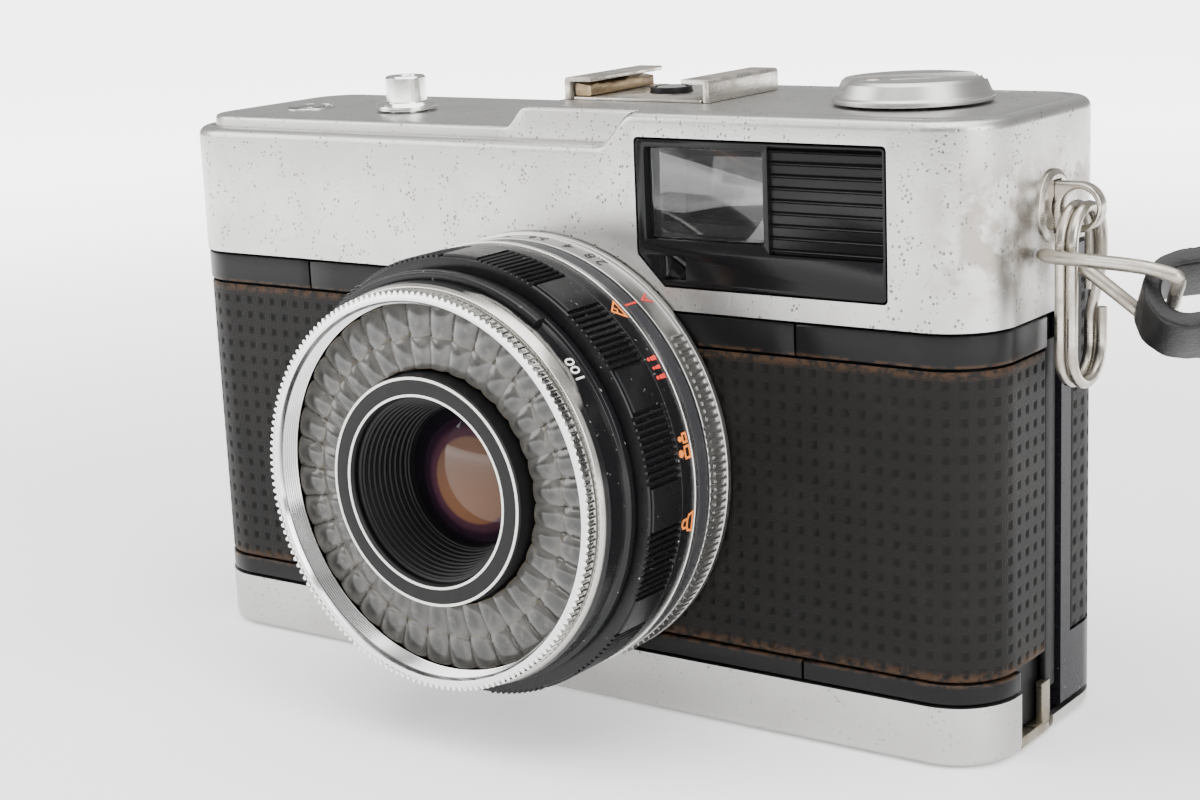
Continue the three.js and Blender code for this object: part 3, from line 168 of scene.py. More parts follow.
def prism(outline, z0, z1):
    """A flat outline raised from z0 to z1."""
    n = len(outline)
    verts = [(x, y, z0) for x, y in outline] + [(x, y, z1) for x, y in outline]
    faces = [tuple(reversed(range(n))), tuple(range(n, 2 * n))]
    faces += [(i, (i + 1) % n, n + (i + 1) % n, n + i) for i in range(n)]
    return np.array(verts, float), faces


def box_outline(x0, x1, y0, y1):
    return [(x0, y0), (x1, y0), (x1, y1), (x0, y1)]


def slab(x0, x1, y0, y1, z0, z1):
    return prism(box_outline(x0, x1, y0, y1), z0, z1)


def rounded_box(x0, x1, y0, y1, z0, z1, radius=0.8):
    return prism(fillet(box_outline(x0, x1, y0, y1), radius), z0, z1)


def disc(radius, z0, z1, x, y, segments=48):
    shape = lathe([(0, z0), (radius, z0), (radius, z1), (0, z1)], segments)
    return moved(shape, x, y)


def grid_faces(columns, rows):
    """Faces over points kept column by column."""
    return [(i * rows + k, (i + 1) * rows + k, (i + 1) * rows + k + 1, i * rows + k + 1)
            for i in range(columns - 1) for k in range(rows - 1)]


def joined(*parts):
    """Several points-and-faces shapes as one."""
    verts, faces, base = [], [], 0
    for v, f in parts:
        verts.append(np.asarray(v, float))
        faces += [tuple(i + base for i in face) for face in f]
        base += len(v)
    return np.vstack(verts), faces


def swept(rows, closed_path=False):
    """Equal rows of points, each a closed section, joined into a tube with caps."""
    count, n = len(rows), len(rows[0])
    verts = np.vstack([np.asarray(r, float) for r in rows])
    faces = []
    for i in range(count if closed_path else count - 1):
        j = (i + 1) % count
        for k in range(n):
            m = (k + 1) % n
            faces.append((i * n + k, i * n + m, j * n + m, j * n + k))
    if not closed_path:
        faces.append(tuple(reversed(range(n))))
        faces.append(tuple(range((count - 1) * n, count * n)))
    return verts, faces


# %% From points to a finished piece
WELD = 2e-6  # metres: points closer than this become one


def edited(mesh, *steps):
    """The mesh after these bmesh steps."""
    work = bmesh.new()
    work.from_mesh(mesh)
    for step in steps:
        step(work)
    work.to_mesh(mesh)
    work.free()
    return mesh


def welded(work):
    bmesh.ops.remove_doubles(work, verts=work.verts, dist=WELD)
    bmesh.ops.dissolve_degenerate(work, edges=work.edges, dist=1e-7)


def faced_outwards(work):
    bmesh.ops.recalc_face_normals(work, faces=work.faces)


def without_loose_points(work):
    loose = [v for v in work.verts if not v.link_faces]
    bmesh.ops.delete(work, geom=loose, context="VERTS")


def plain_mesh(name, verts, faces):
    mesh = bpy.data.meshes.new(name)
    mesh.from_pydata([tuple(v) for v in np.asarray(verts) * MM], [], faces)
    return mesh


def raw_mesh(name, shape):
    return edited(plain_mesh(name, *shape), welded, faced_outwards)


def mapped_mesh(name, verts, faces, weave):
    """A sheet whose points carry a place on its pattern, as a UV map."""
    mesh = plain_mesh(name, verts, faces)
    layer = mesh.uv_layers.new(name="weave")
    for loop in mesh.loops:
        layer.data[loop.index].uv = weave[loop.vertex_index]
    return mesh


def shown(mesh, name):
    piece = bpy.data.objects.new(name, mesh)
    bpy.context.scene.collection.objects.link(piece)
    return piece


def settled(piece):
    """Applies a piece's modifiers, leaving a plain mesh."""
    bpy.context.view_layer.update()
    depsgraph = bpy.context.evaluated_depsgraph_get()
    mesh = bpy.data.meshes.new_from_object(piece.evaluated_get(depsgraph))
    old = piece.data
    piece.modifiers.clear()
    piece.data = mesh
    if old.users == 0 and isinstance(old, bpy.types.Mesh):
        bpy.data.meshes.remove(old)
    return piece


def modifier(piece, kind, **values):
    added = piece.modifiers.new(kind.lower(), kind)
    for key, value in values.items():
        setattr(added, key, value)
    return added


def smoothed(piece, angle=32):
    piece.data.shade_smooth()
    piece.data.set_sharp_from_angle(angle=math.radians(angle))
    return piece


def coated(piece, coat):
    piece.data.materials.clear()
    piece.data.materials.append(coat[0])


def rode(piece, body, coat, replaces=(), angle=32):
    """Shading, coat and body of a finished piece, hiding the part it replaces."""
    coated(piece, coat)
    smoothed(piece, angle)
    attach(piece, body)
    if replaces:
        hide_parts(replaces)
    return piece


def cut_by(piece, cutters):
    """Adds one cut for each shape, and returns the cutting objects."""
    tools = []
    for i, cutter in enumerate(cutters):
        label = f"{piece.name}_cutter_{i}"
        tool = shown(raw_mesh(label, cutter), label)
        modifier(piece, "BOOLEAN", operation="DIFFERENCE", solver="EXACT", object=tool)
        tools.append(tool)
    return tools


def make(name, shape, body, coat, replaces=(), bevel=0.0, bevel_angle=35, angle=32,
         cutters=(), segments=2):
    """A finished piece from points and faces, cut by other shapes and with soft edges."""
    piece = shown(raw_mesh(name, shape), name)
    tools = cut_by(piece, cutters)
    if bevel:
        modifier(piece, "BEVEL", width=bevel * MM, segments=segments, limit_method="ANGLE",
                 angle_limit=math.radians(bevel_angle), harden_normals=False)
    if tools or bevel:
        settled(piece)
    for tool in tools:
        bpy.data.objects.remove(tool)
    return rode(piece, body, coat, replaces, angle)


# %% [markdown]
# ## Geometry Nodes for whatever repeats
#
# Knurls, grip ribs, lenslets and gear teeth are one small shape repeated round an axis
# or along a line. One tree repeats a template round a circle, another along a line.
# The sizes are named inputs, and the result is frozen into a plain mesh.


# %% A row round a circle, and a row along a line
def new_tree(name, inputs):
    tree = bpy.data.node_groups.new(name, "GeometryNodeTree")
    tree.interface.new_socket("Geometry", in_out="OUTPUT", socket_type="NodeSocketGeometry")
    for label, kind in inputs:
        tree.interface.new_socket(label, in_out="INPUT", socket_type="NodeSocket" + kind)
    return tree


def node(tree, kind, settings=(), **values):
    """A node by type, its settings and the values or links of its sockets."""
    made = tree.nodes.new(kind)
    for key, value in dict(settings).items():
        setattr(made, key, value)
    for key, value in values.items():
        socket = made.inputs[int(key[1:])] if key[0] == "_" else made.inputs[key]
        if isinstance(value, bpy.types.NodeSocket):
            tree.links.new(value, socket)
        else:
            socket.default_value = value
    return made


def link(tree, source, target):
    tree.links.new(source, target)


def repeat_tree(round_circle):
    """A template object set out by a tree, round a circle or along a line."""
    name = "row_round_a_circle" if round_circle else "row_along_a_line"
    inputs = [("Template", "Object"), ("Count", "Int"), ("Radius", "Float"), ("First", "Float"),
              ("Turn", "Float"), ("Start", "Vector"), ("Step", "Vector"), ("Centre", "Vector"),
              ("Tilt", "Vector"), ("Finish", "Material")]
    tree = new_tree(name, inputs)
    given = tree.nodes.new("NodeGroupInput").outputs
    template = node(tree, "GeometryNodeObjectInfo", Object=given["Template"]).outputs["Geometry"]
    points = node(tree, "GeometryNodePoints", Count=given["Count"]).outputs[0]
    index = node(tree, "GeometryNodeInputIndex").outputs[0]
    if round_circle:
        def maths(operation, **values):
            return node(tree, "ShaderNodeMath", {"operation": operation}, **values).outputs[0]

        share = maths("DIVIDE", _0=index, _1=given["Count"])
        swung = maths("MULTIPLY_ADD", _0=share, _1=given["Turn"], _2=given["First"])
        across, along = maths("COSINE", _0=swung), maths("SINE", _0=swung)
        unit = node(tree, "ShaderNodeCombineXYZ", X=across, Y=along).outputs[0]
        place = node(tree, "ShaderNodeVectorMath", {"operation": "SCALE"}, _0=unit,
                     Scale=given["Radius"]).outputs[0]
        turn = node(tree, "ShaderNodeCombineXYZ", Z=swung).outputs[0]
    else:
        shift = node(tree, "ShaderNodeVectorMath", {"operation": "SCALE"}, _0=given["Step"],
                     Scale=index).outputs[0]
        place = node(tree, "ShaderNodeVectorMath", {"operation": "ADD"}, _0=given["Start"],
                     _1=shift).outputs[0]
        turn = None
    spread = node(tree, "GeometryNodeSetPosition", Geometry=points, Position=place).outputs[0]
    placed = node(tree, "GeometryNodeInstanceOnPoints", Points=spread, Instance=template)
    if turn is not None:
        link(tree, turn, placed.inputs["Rotation"])
    stood = node(tree, "GeometryNodeTransform", Geometry=placed.outputs[0],
                 Translation=given["Centre"], Rotation=given["Tilt"]).outputs[0]
    real = node(tree, "GeometryNodeRealizeInstances", Geometry=stood).outputs[0]
    finished = node(tree, "GeometryNodeSetMaterial", Geometry=real, Material=given["Finish"])
    link(tree, finished.outputs[0], tree.nodes.new("NodeGroupOutput").inputs[0])
    return tree


CIRCLE_ROW = repeat_tree(True)
LINE_ROW = repeat_tree(False)


def in_metres(point):
    return tuple(c * MM for c in point)


def grown(name, tree, material, **values):
    """The mesh that a tree makes from these inputs, as a plain object."""
    carrier = shown(bpy.data.meshes.new(name), name)
    added = carrier.modifiers.new("nodes", "NODES")
    added.node_group = tree
    values["Finish"] = material
    for item in tree.interface.items_tree:
        if item.in_out == "INPUT" and item.name in values:
            added[item.identifier] = values[item.name]
    return settled(carrier)


LENS_TILT = (math.pi / 2, 0.0, 0.0)  # stands a row built about Z on the lens axis


def row_of(tree, name, template, count, coat, body, **values):
    """A template repeated by a tree; lengths are given in metres."""
    source = shown(raw_mesh(name + "_template", template), name + "_template")
    piece = grown(name, tree, coat[0], Template=source, Count=count, **values)
    bpy.data.objects.remove(source)
    return rode(piece, body, coat, (), 40)


def round_row(name, template, count, radius, coat, body, first=0.0, turn=360.0,
              centre=(0, 0, 0), tilt=(0, 0, 0)):
    return row_of(CIRCLE_ROW, name, template, count, coat, body, Radius=radius * MM,
                  First=math.radians(first), Turn=math.radians(turn),
                  Centre=in_metres(centre), Tilt=tilt)


def lens_row(name, template, count, radius, forward, coat, body, first=0.0, turn=360.0):
    return round_row(name, template, count, radius, coat, body, first, turn,
                     (LENS_X, FRONT - forward, LENS_Z), LENS_TILT)


def line_row(name, template, count, start, step, coat, body):
    return row_of(LINE_ROW, name, template, count, coat, body, Start=in_metres(start),
                  Step=in_metres(step))


def half_round(width, length, height, sides=5):
    """A rib along Z that stands height above its seat on the +X side."""
    arc = [(height * math.sin(math.pi * k / sides), -width / 2 * math.cos(math.pi * k / sides))
           for k in range(sides + 1)]
    outline = [(-0.15, -width / 2)] + arc + [(-0.15, width / 2)]
    return prism(outline, -length / 2, length / 2)


print("two repeating trees are ready")

# %% [markdown]
# ## Shader maths as plain expressions
#
# A worn finish is a sum of masks: noise, position and cavities. Wrapping a socket in a
# small class lets the sums be written as Python, and each sign becomes a Math node.


# %% The wrapped socket
class Value:
    """A number that varies over a surface."""

    def __init__(self, finish, socket):
        self.finish = finish
        self.socket = socket

    def _math(self, operation, other=0.0, swapped=False):
        other = other.socket if isinstance(other, Value) else other
        first, second = (other, self.socket) if swapped else (self.socket, other)
        made = node(self.finish.tree, "ShaderNodeMath", {"operation": operation}, _0=first,
                    _1=second)
        return Value(self.finish, made.outputs[0])

    def __add__(self, other): return self._math("ADD", other)
    __radd__ = __add__

    def __mul__(self, other): return self._math("MULTIPLY", other)
    __rmul__ = __mul__

    def __sub__(self, other): return self._math("SUBTRACT", other)

    def __rsub__(self, other): return self._math("SUBTRACT", other, swapped=True)

    def __truediv__(self, other): return self._math("DIVIDE", other)

    def __pow__(self, other): return self._math("POWER", other)

    def most(self, other): return self._math("MAXIMUM", other)

    def sine(self): return self._math("SINE")

    def size(self): return self._math("ABSOLUTE")

    def fraction(self): return self._math("FRACT")

    def ramp(self, low, high):
        """0 below low, 1 above high, smooth between."""
        made = node(self.finish.tree, "ShaderNodeMapRange", {"interpolation_type": "SMOOTHSTEP"},
                    **{"Value": self.socket, "From Min": low, "From Max": high})
        return Value(self.finish, made.outputs[0])


class Finish:
    """A material with one Principled shader and helpers to feed it."""

    def __init__(self, name, color, roughness, metallic=0.0, **constants):
        self.material = bpy.data.materials.new(name)
        self.material.use_nodes = True
        self.tree = self.material.node_tree
        self.shader = self.tree.nodes["Principled BSDF"]
        self.color = color
        self.shader.inputs["Base Color"].default_value = (*color, 1)
        self.shader.inputs["Roughness"].default_value = roughness
        self.shader.inputs["Metallic"].default_value = metallic
        for key, value in constants.items():
            self.shader.inputs[key.replace("_", " ")].default_value = value
        self.place = node(self.tree, "ShaderNodeTexCoord").outputs["Object"]

    def get(self, kind, output, settings=(), **values):
        """Any other node, as one output."""
        plain = {k: v.socket if isinstance(v, Value) else v for k, v in values.items()}
        return Value(self, node(self.tree, kind, settings, **plain).outputs[output])

    def axes(self):
        """The point on the surface in millimetres, as three values."""
        split = node(self.tree, "ShaderNodeSeparateXYZ", _0=self.place)
        return [Value(self, split.outputs[i]) * 1000.0 for i in range(3)]

    def noise(self, scale, detail=3.0, roughness=0.55, stretch=None):
        at = self.place
        if stretch:
            at = node(self.tree, "ShaderNodeMapping", Vector=at, Scale=stretch).outputs[0]
        return self.get("ShaderNodeTexNoise", 0, Vector=at, Scale=scale, Detail=detail,
                        Roughness=roughness)

    def cells(self, scale):
        return self.get("ShaderNodeTexVoronoi", "Distance", Vector=self.place, Scale=scale)

    def weave(self):
        """The place on a sheet's own pattern, as two values."""
        uv = node(self.tree, "ShaderNodeUVMap", {"uv_map": "weave"}).outputs[0]
        split = node(self.tree, "ShaderNodeSeparateXYZ", _0=uv)
        return [Value(self, split.outputs[i]) for i in range(2)]

    def mix(self, factor, first, second):
        """Two colours mixed by a value."""
        def plain(c): return c.socket if isinstance(c, Value) else (*c, 1)
        return self.get("ShaderNodeMix", 2, {"data_type": "RGBA"}, _0=factor,
                        _6=plain(first), _7=plain(second))

    def feed(self, socket, value):
        link(self.tree, value.socket, self.shader.inputs[socket])
        return self

    def tint(self, factor, color):
        """Lays a colour over what is there by a mask, and feeds Base Color."""
        self.color = self.mix(factor, self.color, color)
        return self.feed("Base Color", self.color)

    def bump(self, height, strength=0.5, distance=0.1):
        made = node(self.tree, "ShaderNodeBump", Strength=strength, Distance=distance * MM,
                    Height=height.socket)
        link(self.tree, made.outputs[0], self.shader.inputs["Normal"])
        return self


print("finishes can be mixed")

# %% [markdown]
# ## The wrist strap comes first
#
# A strap is a fixed length of something limp, so its route is settled before anything
# else. It leaves the clasp, hangs to the table, turns round once and comes back up to
# the same clasp. The flat strip is swept along that route with its flat side to the table.

# %% The strap's route and its flat strip
FOLD_AXIS = Vector((0.4, -0.67, 0.62)).normalized()
FOLD_RUN = Vector((0.82, 0.565, 0.094))
FOLD_RUN = (FOLD_RUN - FOLD_AXIS * FOLD_RUN.dot(FOLD_AXIS)).normalized()
FOLD_ACROSS = FOLD_AXIS.cross(FOLD_RUN)
FOLD_CENTRE = Vector((74.1, -3.1, 51.2))


def clasp_mouth(run, side):
    return tuple(FOLD_CENTRE + FOLD_RUN * (19.2 + run) + FOLD_AXIS * side * 1.9)


STRAP_ROUTE = [
    clasp_mouth(0, 1), clasp_mouth(1.5, 1), (98, 12.5, 54.2), (105, 16, 48.5),
    (110.5, 19, 38.5), (114, 21.5, 26), (117.5, 24, 15), (123, 27.5, 6.6), (131, 31, 2.6),
    (141, 33, 1.7), (151, 31.5, 1.7), (159, 25, 1.7), (162, 15, 1.7), (159.5, 5, 1.7),
    (152, -2, 1.7), (142, -5, 1.7), (131, -4.5, 2.6), (122.5, -2, 7), (116.5, 0.4, 15),
    (111, 2.6, 25), (106, 4.6, 35), (101, 6.6, 43.5), (96, 8.2, 49.4), clasp_mouth(1.5, -1),
    clasp_mouth(0, -1),
]


def smooth_route(points, steps):
    """A smooth curve through points, as an array."""
    p = np.array(points, float)
    p = np.vstack([2 * p[0] - p[1], p, 2 * p[-1] - p[-2]])
    out = []
    for i in range(1, len(p) - 2):
        for k in range(steps):
            t = k / steps
            a, b, c, d = p[i - 1:i + 3]
            out.append(0.5 * (2 * b + (c - a) * t + (2 * a - 5 * b + 4 * c - d) * t * t
                              + (3 * b - a - 3 * c + d) * t ** 3))
    out.append(p[-2])
    return np.array(out)


def unit(vector):
    return vector / np.linalg.norm(vector)


def heading(route, i):
    """The direction in which a route runs at its point i."""
    return unit(route[min(i + 1, len(route) - 1)] - route[max(i - 1, 0)])


def strip_rows(route, section, lean):
    """A section in (side, up) carried along a route; lean gives the side direction."""
    rows = []
    for i, here in enumerate(route):
        ahead = heading(route, i)
        side = np.array(lean(i / (len(route) - 1)), float)
        side -= ahead * side.dot(ahead)
        side = unit(side)
        up = np.cross(side, ahead)
        rows.append([here + side * a + up * b for a, b in section])
    return rows


STRAP_WIDE, STRAP_THICK = 5.2, 1.6
strap_route = smooth_route(STRAP_ROUTE, 8)
STRAP_SECTION = fillet(box_outline(-STRAP_WIDE / 2, STRAP_WIDE / 2, -STRAP_THICK / 2,
                                   STRAP_THICK / 2), 0.5, 3)


def strap_lean(share):
    """Across the fold at the clasp, level on the table."""
    level = min(1.0, 4 * min(share, 1 - share))
    start = FOLD_ACROSS if share < 0.5 else -FOLD_ACROSS
    table = Vector((-0.5, 0.87, 0)) if share < 0.5 else Vector((-0.4, 0.92, 0))
    if 0.25 < share < 0.75:
        angle = math.pi * (share - 0.25) / 0.5
        table = Vector((-0.5 * math.cos(angle) + 0.87 * math.sin(angle),
                        0.87 * math.cos(angle) + 0.5 * math.sin(angle), 0))
        return table
    return start * (1 - level) + table * level * (1 if share < 0.5 else -1)


# %% [markdown]
# ## Finishes
#
# Worn satin chrome, black paint rubbed through to metal, a pressed covering: each is one
# function of the same small set of masks. The fine dark pits in the chrome gather where
# hands left salt, so their mask is stronger there. A coat is a material paired with a slot name.

# %% Metals
def satin_chrome(name="satin_chrome", pitted=True, tone=1.0):
    f = Finish(name, (0.50 * tone, 0.495 * tone, 0.48 * tone), 0.34, 1.0)
    x, y, z = f.axes()
    cloud = f.noise(160, 4)
    fine = f.noise(2600, 2)
    f.feed("Roughness", 0.24 + cloud * 0.16 + fine * 0.08)
    f.tint(cloud.ramp(0.35, 0.75) * 0.35, (0.42 * tone, 0.41 * tone, 0.39 * tone))
    if pitted:
        crowd = (1 - (x - 13.0).size().ramp(3.0, 22.0)) * z.ramp(58.0, 69.0)
        low = z.ramp(4.0, 9.0) * 0.6 + 0.4
        rare = f.noise(420, 3).ramp(0.50, 0.60) * low
        dense = f.noise(700, 3).ramp(0.44, 0.56) * crowd
        specks = (1 - f.cells(1700).ramp(0.16, 0.36)) * (rare * 0.9).most(dense)
        f.tint(specks * 0.85, (0.10, 0.085, 0.065))
        handled = x.ramp(49.0, 56.5) * (1 - (z - 59.0).size().ramp(3.0, 10.0))
        f.tint(handled * f.noise(330, 4).ramp(0.40, 0.60) * 0.75, (0.22, 0.19, 0.155))
        f.bump(fine * 0.35 - specks * 0.9, 0.35, 0.12)
    else:
        f.bump(fine, 0.12, 0.05)
    return f.material


def polished(name, tone=(0.80, 0.80, 0.78), rough=0.10):
    f = Finish(name, tone, rough, 1.0)
    smear = f.noise(300, 3)
    f.feed("Roughness", rough + smear * 0.14)
    f.tint(smear.ramp(0.5, 0.8) * 0.3, tuple(c * 0.8 for c in tone))
    f.bump(f.noise(1500, 2), 0.08, 0.04)
    return f.material


def worn_steel(name, tone=(0.56, 0.53, 0.48), grime=0.5, stretch=(1, 1, 6)):
    f = Finish(name, tone, 0.30, 1.0)
    streak = f.noise(700, 3, stretch=stretch)
    dirt = f.noise(260, 4).ramp(0.46, 0.66)
    f.feed("Roughness", 0.18 + streak * 0.22 + dirt * 0.18)
    f.tint(dirt * grime, (0.16, 0.11, 0.065))
    f.feed("Metallic", 1 - dirt * grime * 0.6)
    f.bump(streak - dirt * 0.4, 0.25, 0.06)
    return f.material


CHROME = satin_chrome(), "satin_chrome"
CHROME_RING = satin_chrome("ring_chrome", False, 0.98), "satin_chrome"
BRIGHT = polished("polished_chrome"), "bright_chrome"
STEEL = worn_steel("worn_steel"), "steel"
NICKEL = worn_steel("nickel_wire", (0.46, 0.43, 0.38), 0.35), "steel"
GRIMY = worn_steel("grimy_steel", (0.27, 0.245, 0.19), 0.85), "steel"
BRASS = worn_steel("corroded_brass", (0.36, 0.27, 0.16), 0.95), "aged_brass"
BARE_LINE = polished("bare_alloy", (0.74, 0.73, 0.70), 0.22), "satin_chrome"


# %% Paint, plastic and covering
BARE_METAL = (0.55, 0.53, 0.49)


def black_paint(name, rough=0.26, base=0.006, rubbed=None, blue=0.0, metal=BARE_METAL,
                shine=0.26, chips=True):
    """Enamel with fine scratches; rubbed is a function of the finish that returns a mask."""
    f = Finish(name, (base, base, base * (1.1 + blue)), rough, 0.0, Specular_IOR_Level=shine)
    scuff = f.noise(900, 4)
    f.feed("Roughness", rough - 0.06 + scuff * 0.2)
    haze = (base * 2.0, base * 1.9, base * (1.8 + 2 * blue))
    f.tint(f.noise(130, 4).ramp(0.5, 0.8) * 0.4, haze)
    bare = f.noise(1500, 3).ramp(0.67, 0.72) * f.noise(200, 3).ramp(0.5, 0.6)
    if rubbed:
        bare = bare.most(rubbed(f))
    if chips:
        f.tint(bare, metal)
        f.feed("Metallic", bare)
        f.bump(scuff * 0.4 - bare * 0.5, 0.2, 0.05)
    else:
        f.bump(scuff, 0.1, 0.05)
    return f.material


def rubbed_quarter(f):
    """Paint rubbed to metal behind the rim, from the ring's top round to its right."""
    x, y, z = f.axes()
    toward = ((x - LENS_X) * 0.60 + (z - LENS_Z) * 0.80) / 23.4
    forward = FRONT - y
    smudge = toward.ramp(0.84, 0.98) * forward.ramp(18.2, 20.8)
    patch = (smudge * 0.75 + f.noise(330, 4) * 0.55).ramp(0.62, 0.98)
    skirt = forward.ramp(20.9, 21.3) * 0.9
    return patch.most(skirt)


def black_plastic(name, dust_lines=(), rough=0.38, base=0.009):
    """Satin moulding; brown dust and old glue gather along the given heights."""
    f = Finish(name, (base, base, base * 1.1), rough, 0.0, Specular_IOR_Level=0.17)
    x, y, z = f.axes()
    grain = f.noise(2200, 3)
    f.feed("Roughness", rough - 0.05 + grain * 0.14)
    f.tint(f.noise(220, 4).ramp(0.55, 0.8) * 0.5, (base * 2.6, base * 2.3, base * 2.0))
    for height, reach in dust_lines:
        near = 1 - (z - height).size().ramp(reach * 0.35, reach)
        brown = near * f.noise(900, 4).ramp(0.40, 0.56)
        f.tint(brown * 0.8, (0.040, 0.022, 0.012))
    f.bump(grain, 0.12, 0.05)
    return f.material


def off_middle(value):
    """How far a value is from the middle of its own cell, up to 0.5."""
    return (value.fraction() - 0.5).size()


def covering(name="leatherette"):
    """Pressed check with a fine weave; the relief itself is in the mesh."""
    f = Finish(name, (0.0050, 0.0046, 0.0043), 0.55, 0.0, Specular_IOR_Level=0.13)
    across, up = f.weave()
    threads = (across * 8 * math.pi).sine().size() * (up * 8 * math.pi).sine().size()
    ridge = off_middle(across).ramp(0.20, 0.27).most(off_middle(up).ramp(0.20, 0.27))
    grain = f.noise(3200, 3)
    dust = f.noise(150, 4).ramp(0.44, 0.72)
    f.tint(dust * 0.35, (0.0125, 0.0108, 0.0092))
    f.tint(ridge * threads * 0.45, (0.020, 0.0185, 0.017))
    x, y, z = f.axes()
    foot, top_right, top_left = [1 - (z - height).size().ramp(0.2, 1.1)
                                 for height in (10.2, 44.4, 46.8)]
    rims = foot.most(top_right * x.ramp(5.0, 6.0)).most(top_left)
    fuzz = rims * (14.0 - y).ramp(10.9, 11.2)
    f.tint(fuzz * f.noise(1100, 4).ramp(0.38, 0.58) * 0.8, (0.050, 0.026, 0.013))
    f.feed("Roughness", 0.50 + grain * 0.22 - ridge * 0.12)
    f.bump(threads * ridge * 0.7 + grain * 0.45, 0.55, 0.09)
    return f.material


def strap_leather(name="strap_leather"):
    f = Finish(name, (0.0055, 0.0055, 0.006), 0.30, 0.0, Specular_IOR_Level=0.34)
    creases = f.noise(520, 5, 0.65)
    pores = f.cells(3400)
    f.feed("Roughness", 0.28 + creases * 0.24)
    f.tint(creases.ramp(0.52, 0.72) * 0.5, (0.014, 0.013, 0.012))
    f.bump(creases * 0.8 + pores * 0.4, 0.4, 0.14)
    return f.material


PAINT = black_paint("black_enamel"), "black_paint"
MATT = black_paint("matt_black", 0.46, 0.003, chips=False), "black_paint"
SPEED_PAINT = black_paint("speed_ring_enamel", 0.20, 0.006, rubbed_quarter), "black_paint"


THREAD_PITCH = 0.34


def threaded_rim():
    """Polished chrome with dark lines of painted shade in the roots between the turns of the
    inner thread.
    """
    f = Finish("threaded_rim", (0.74, 0.74, 0.73), 0.12, 1.0)
    x, y, z = f.axes()
    across, up = x - LENS_X, z - LENS_Z
    inner = 1 - ((across * across + up * up) ** 0.5).ramp(21.62, 21.70)
    # painted shade: the roots between the thread's turns are darkened where shade falls
    turn = off_middle((FRONT - y) / THREAD_PITCH + 0.5).ramp(0.22, 0.42)
    f.tint(turn * inner * 0.8, (0.10, 0.10, 0.10))
    f.tint(inner * f.noise(90, 2).ramp(0.4, 0.65) * 0.5, (0.30, 0.30, 0.30))
    f.feed("Roughness", 0.10 + f.noise(300, 3) * 0.12)
    return f.material


RIM_CHROME = threaded_rim(), "bright_chrome"
DOOR_PAINT = (black_paint("door_enamel", 0.22, 0.007, None, 0.2, (0.30, 0.32, 0.35), 0.12),
              "black_paint")
INDEX_PAINT = black_paint("index_grey", 0.34, 0.030), "black_paint"
PLASTIC = black_plastic("satin_moulding"), "black_plastic"
BAND_LEFT = black_plastic("band_left", [(47.3, 0.45)], 0.30, 0.004), "black_plastic"
BAND_RIGHT = black_plastic("band_right", [(44.9, 0.45)], 0.30, 0.004), "black_plastic"
BAND_LOW = black_plastic("band_low", [(9.65, 0.4)], 0.30, 0.004), "black_plastic"
RIBBED = black_plastic("ribbed_panel", (), 0.16, 0.005), "black_plastic"
LEATHER = covering(), "leatherette"
STRAP = strap_leather(), "strap_leather"


# %% Glass and marking paints
def glass(name, color, rough):
    f = Finish(name, color, rough, Transmission_Weight=1.0, IOR=1.52)
    f.feed("Roughness", rough + f.noise(400, 3).ramp(0.5, 0.9) * 0.02)
    return f.material


def marking(name, color, rough=0.45):
    f = Finish(name, color, rough)
    f.tint(f.noise(1800, 3).ramp(0.5, 0.75) * 0.4, tuple(c * 0.6 for c in color))
    f.feed("Roughness", rough + f.noise(1500, 2) * 0.1)
    return f.material


CLEAR = glass("clear_glass", (1, 1, 1), 0.0), "clear_glass"
WHITE = marking("white_marking", (0.80, 0.79, 0.75)), "black_paint"
BLACK_MARK = marking("black_marking", (0.012, 0.012, 0.013)), "black_paint"
RED = marking("red_marking", (0.62, 0.035, 0.025)), "black_paint"
ORANGE = marking("orange_marking", (0.80, 0.22, 0.03)), "black_paint"
print("finishes mixed:", len(bpy.data.materials))

# %% [markdown]
# ## The strap as a piece
#
# One strip of leather with rounded edges, swept along the route, which starts and ends on the
# clasp.

# %% The wrist strap
strap_shape = swept(strip_rows(strap_route, STRAP_SECTION, strap_lean))
strap = make("strap_strip", strap_shape, "link", STRAP, "wrist_strap")
in_metres(STRAP_ROUTE[0])

# %% [markdown]
# ## The body's outline
#
# Every cover, band and skin follows one rounded rectangle. A distance along the front,
# counted from its middle, and an inset give any point on it, so each skin is a small
# section carried along a stretch of that path.

# %% Points on the outline
HALF_WIDTH, HALF_DEPTH, CORNER = 58.0, 16.0, 7.5
TINY = 1e-6
STRAIGHT = HALF_WIDTH - CORNER
ARC = CORNER * math.pi / 2
TO_SIDE = STRAIGHT + ARC + HALF_DEPTH - CORNER  # from the front's middle to a side's middle


def outline_point(s, inset=0.0):
    """The outline at a distance s from the front's middle, brought in by inset."""
    side = 1 if s >= 0 else -1
    far = abs(s)
    if far > TO_SIDE:
        x, y = outline_point(side * (2 * TO_SIDE - far), inset)
        return x, -y
    if far <= STRAIGHT:
        return side * far, -(HALF_DEPTH - inset)
    if far <= STRAIGHT + ARC:
        a = (far - STRAIGHT) / CORNER
        r = CORNER - inset
        return side * (STRAIGHT + r * math.sin(a)), -(HALF_DEPTH - CORNER + r * math.cos(a))
    return side * (HALF_WIDTH - inset), -(HALF_DEPTH - CORNER) + (far - STRAIGHT - ARC)


def side_distance(y):
    """The distance along the outline of a place y on the short sides."""
    return STRAIGHT + ARC + (HALF_DEPTH - CORNER) + y


def marks_between(s0, s1, edges, bent, coarse, fine):
    """Distances from s0 to s1 that stop at each edge, close together where it's bent."""
    marks = [s0]
    while marks[-1] < s1 - TINY:
        here = marks[-1] + TINY
        following = marks[-1] + (fine if bent(here) else coarse)
        following = min([following, s1] + [edge for edge in edges if edge > here])
        marks.append(following)
    return marks


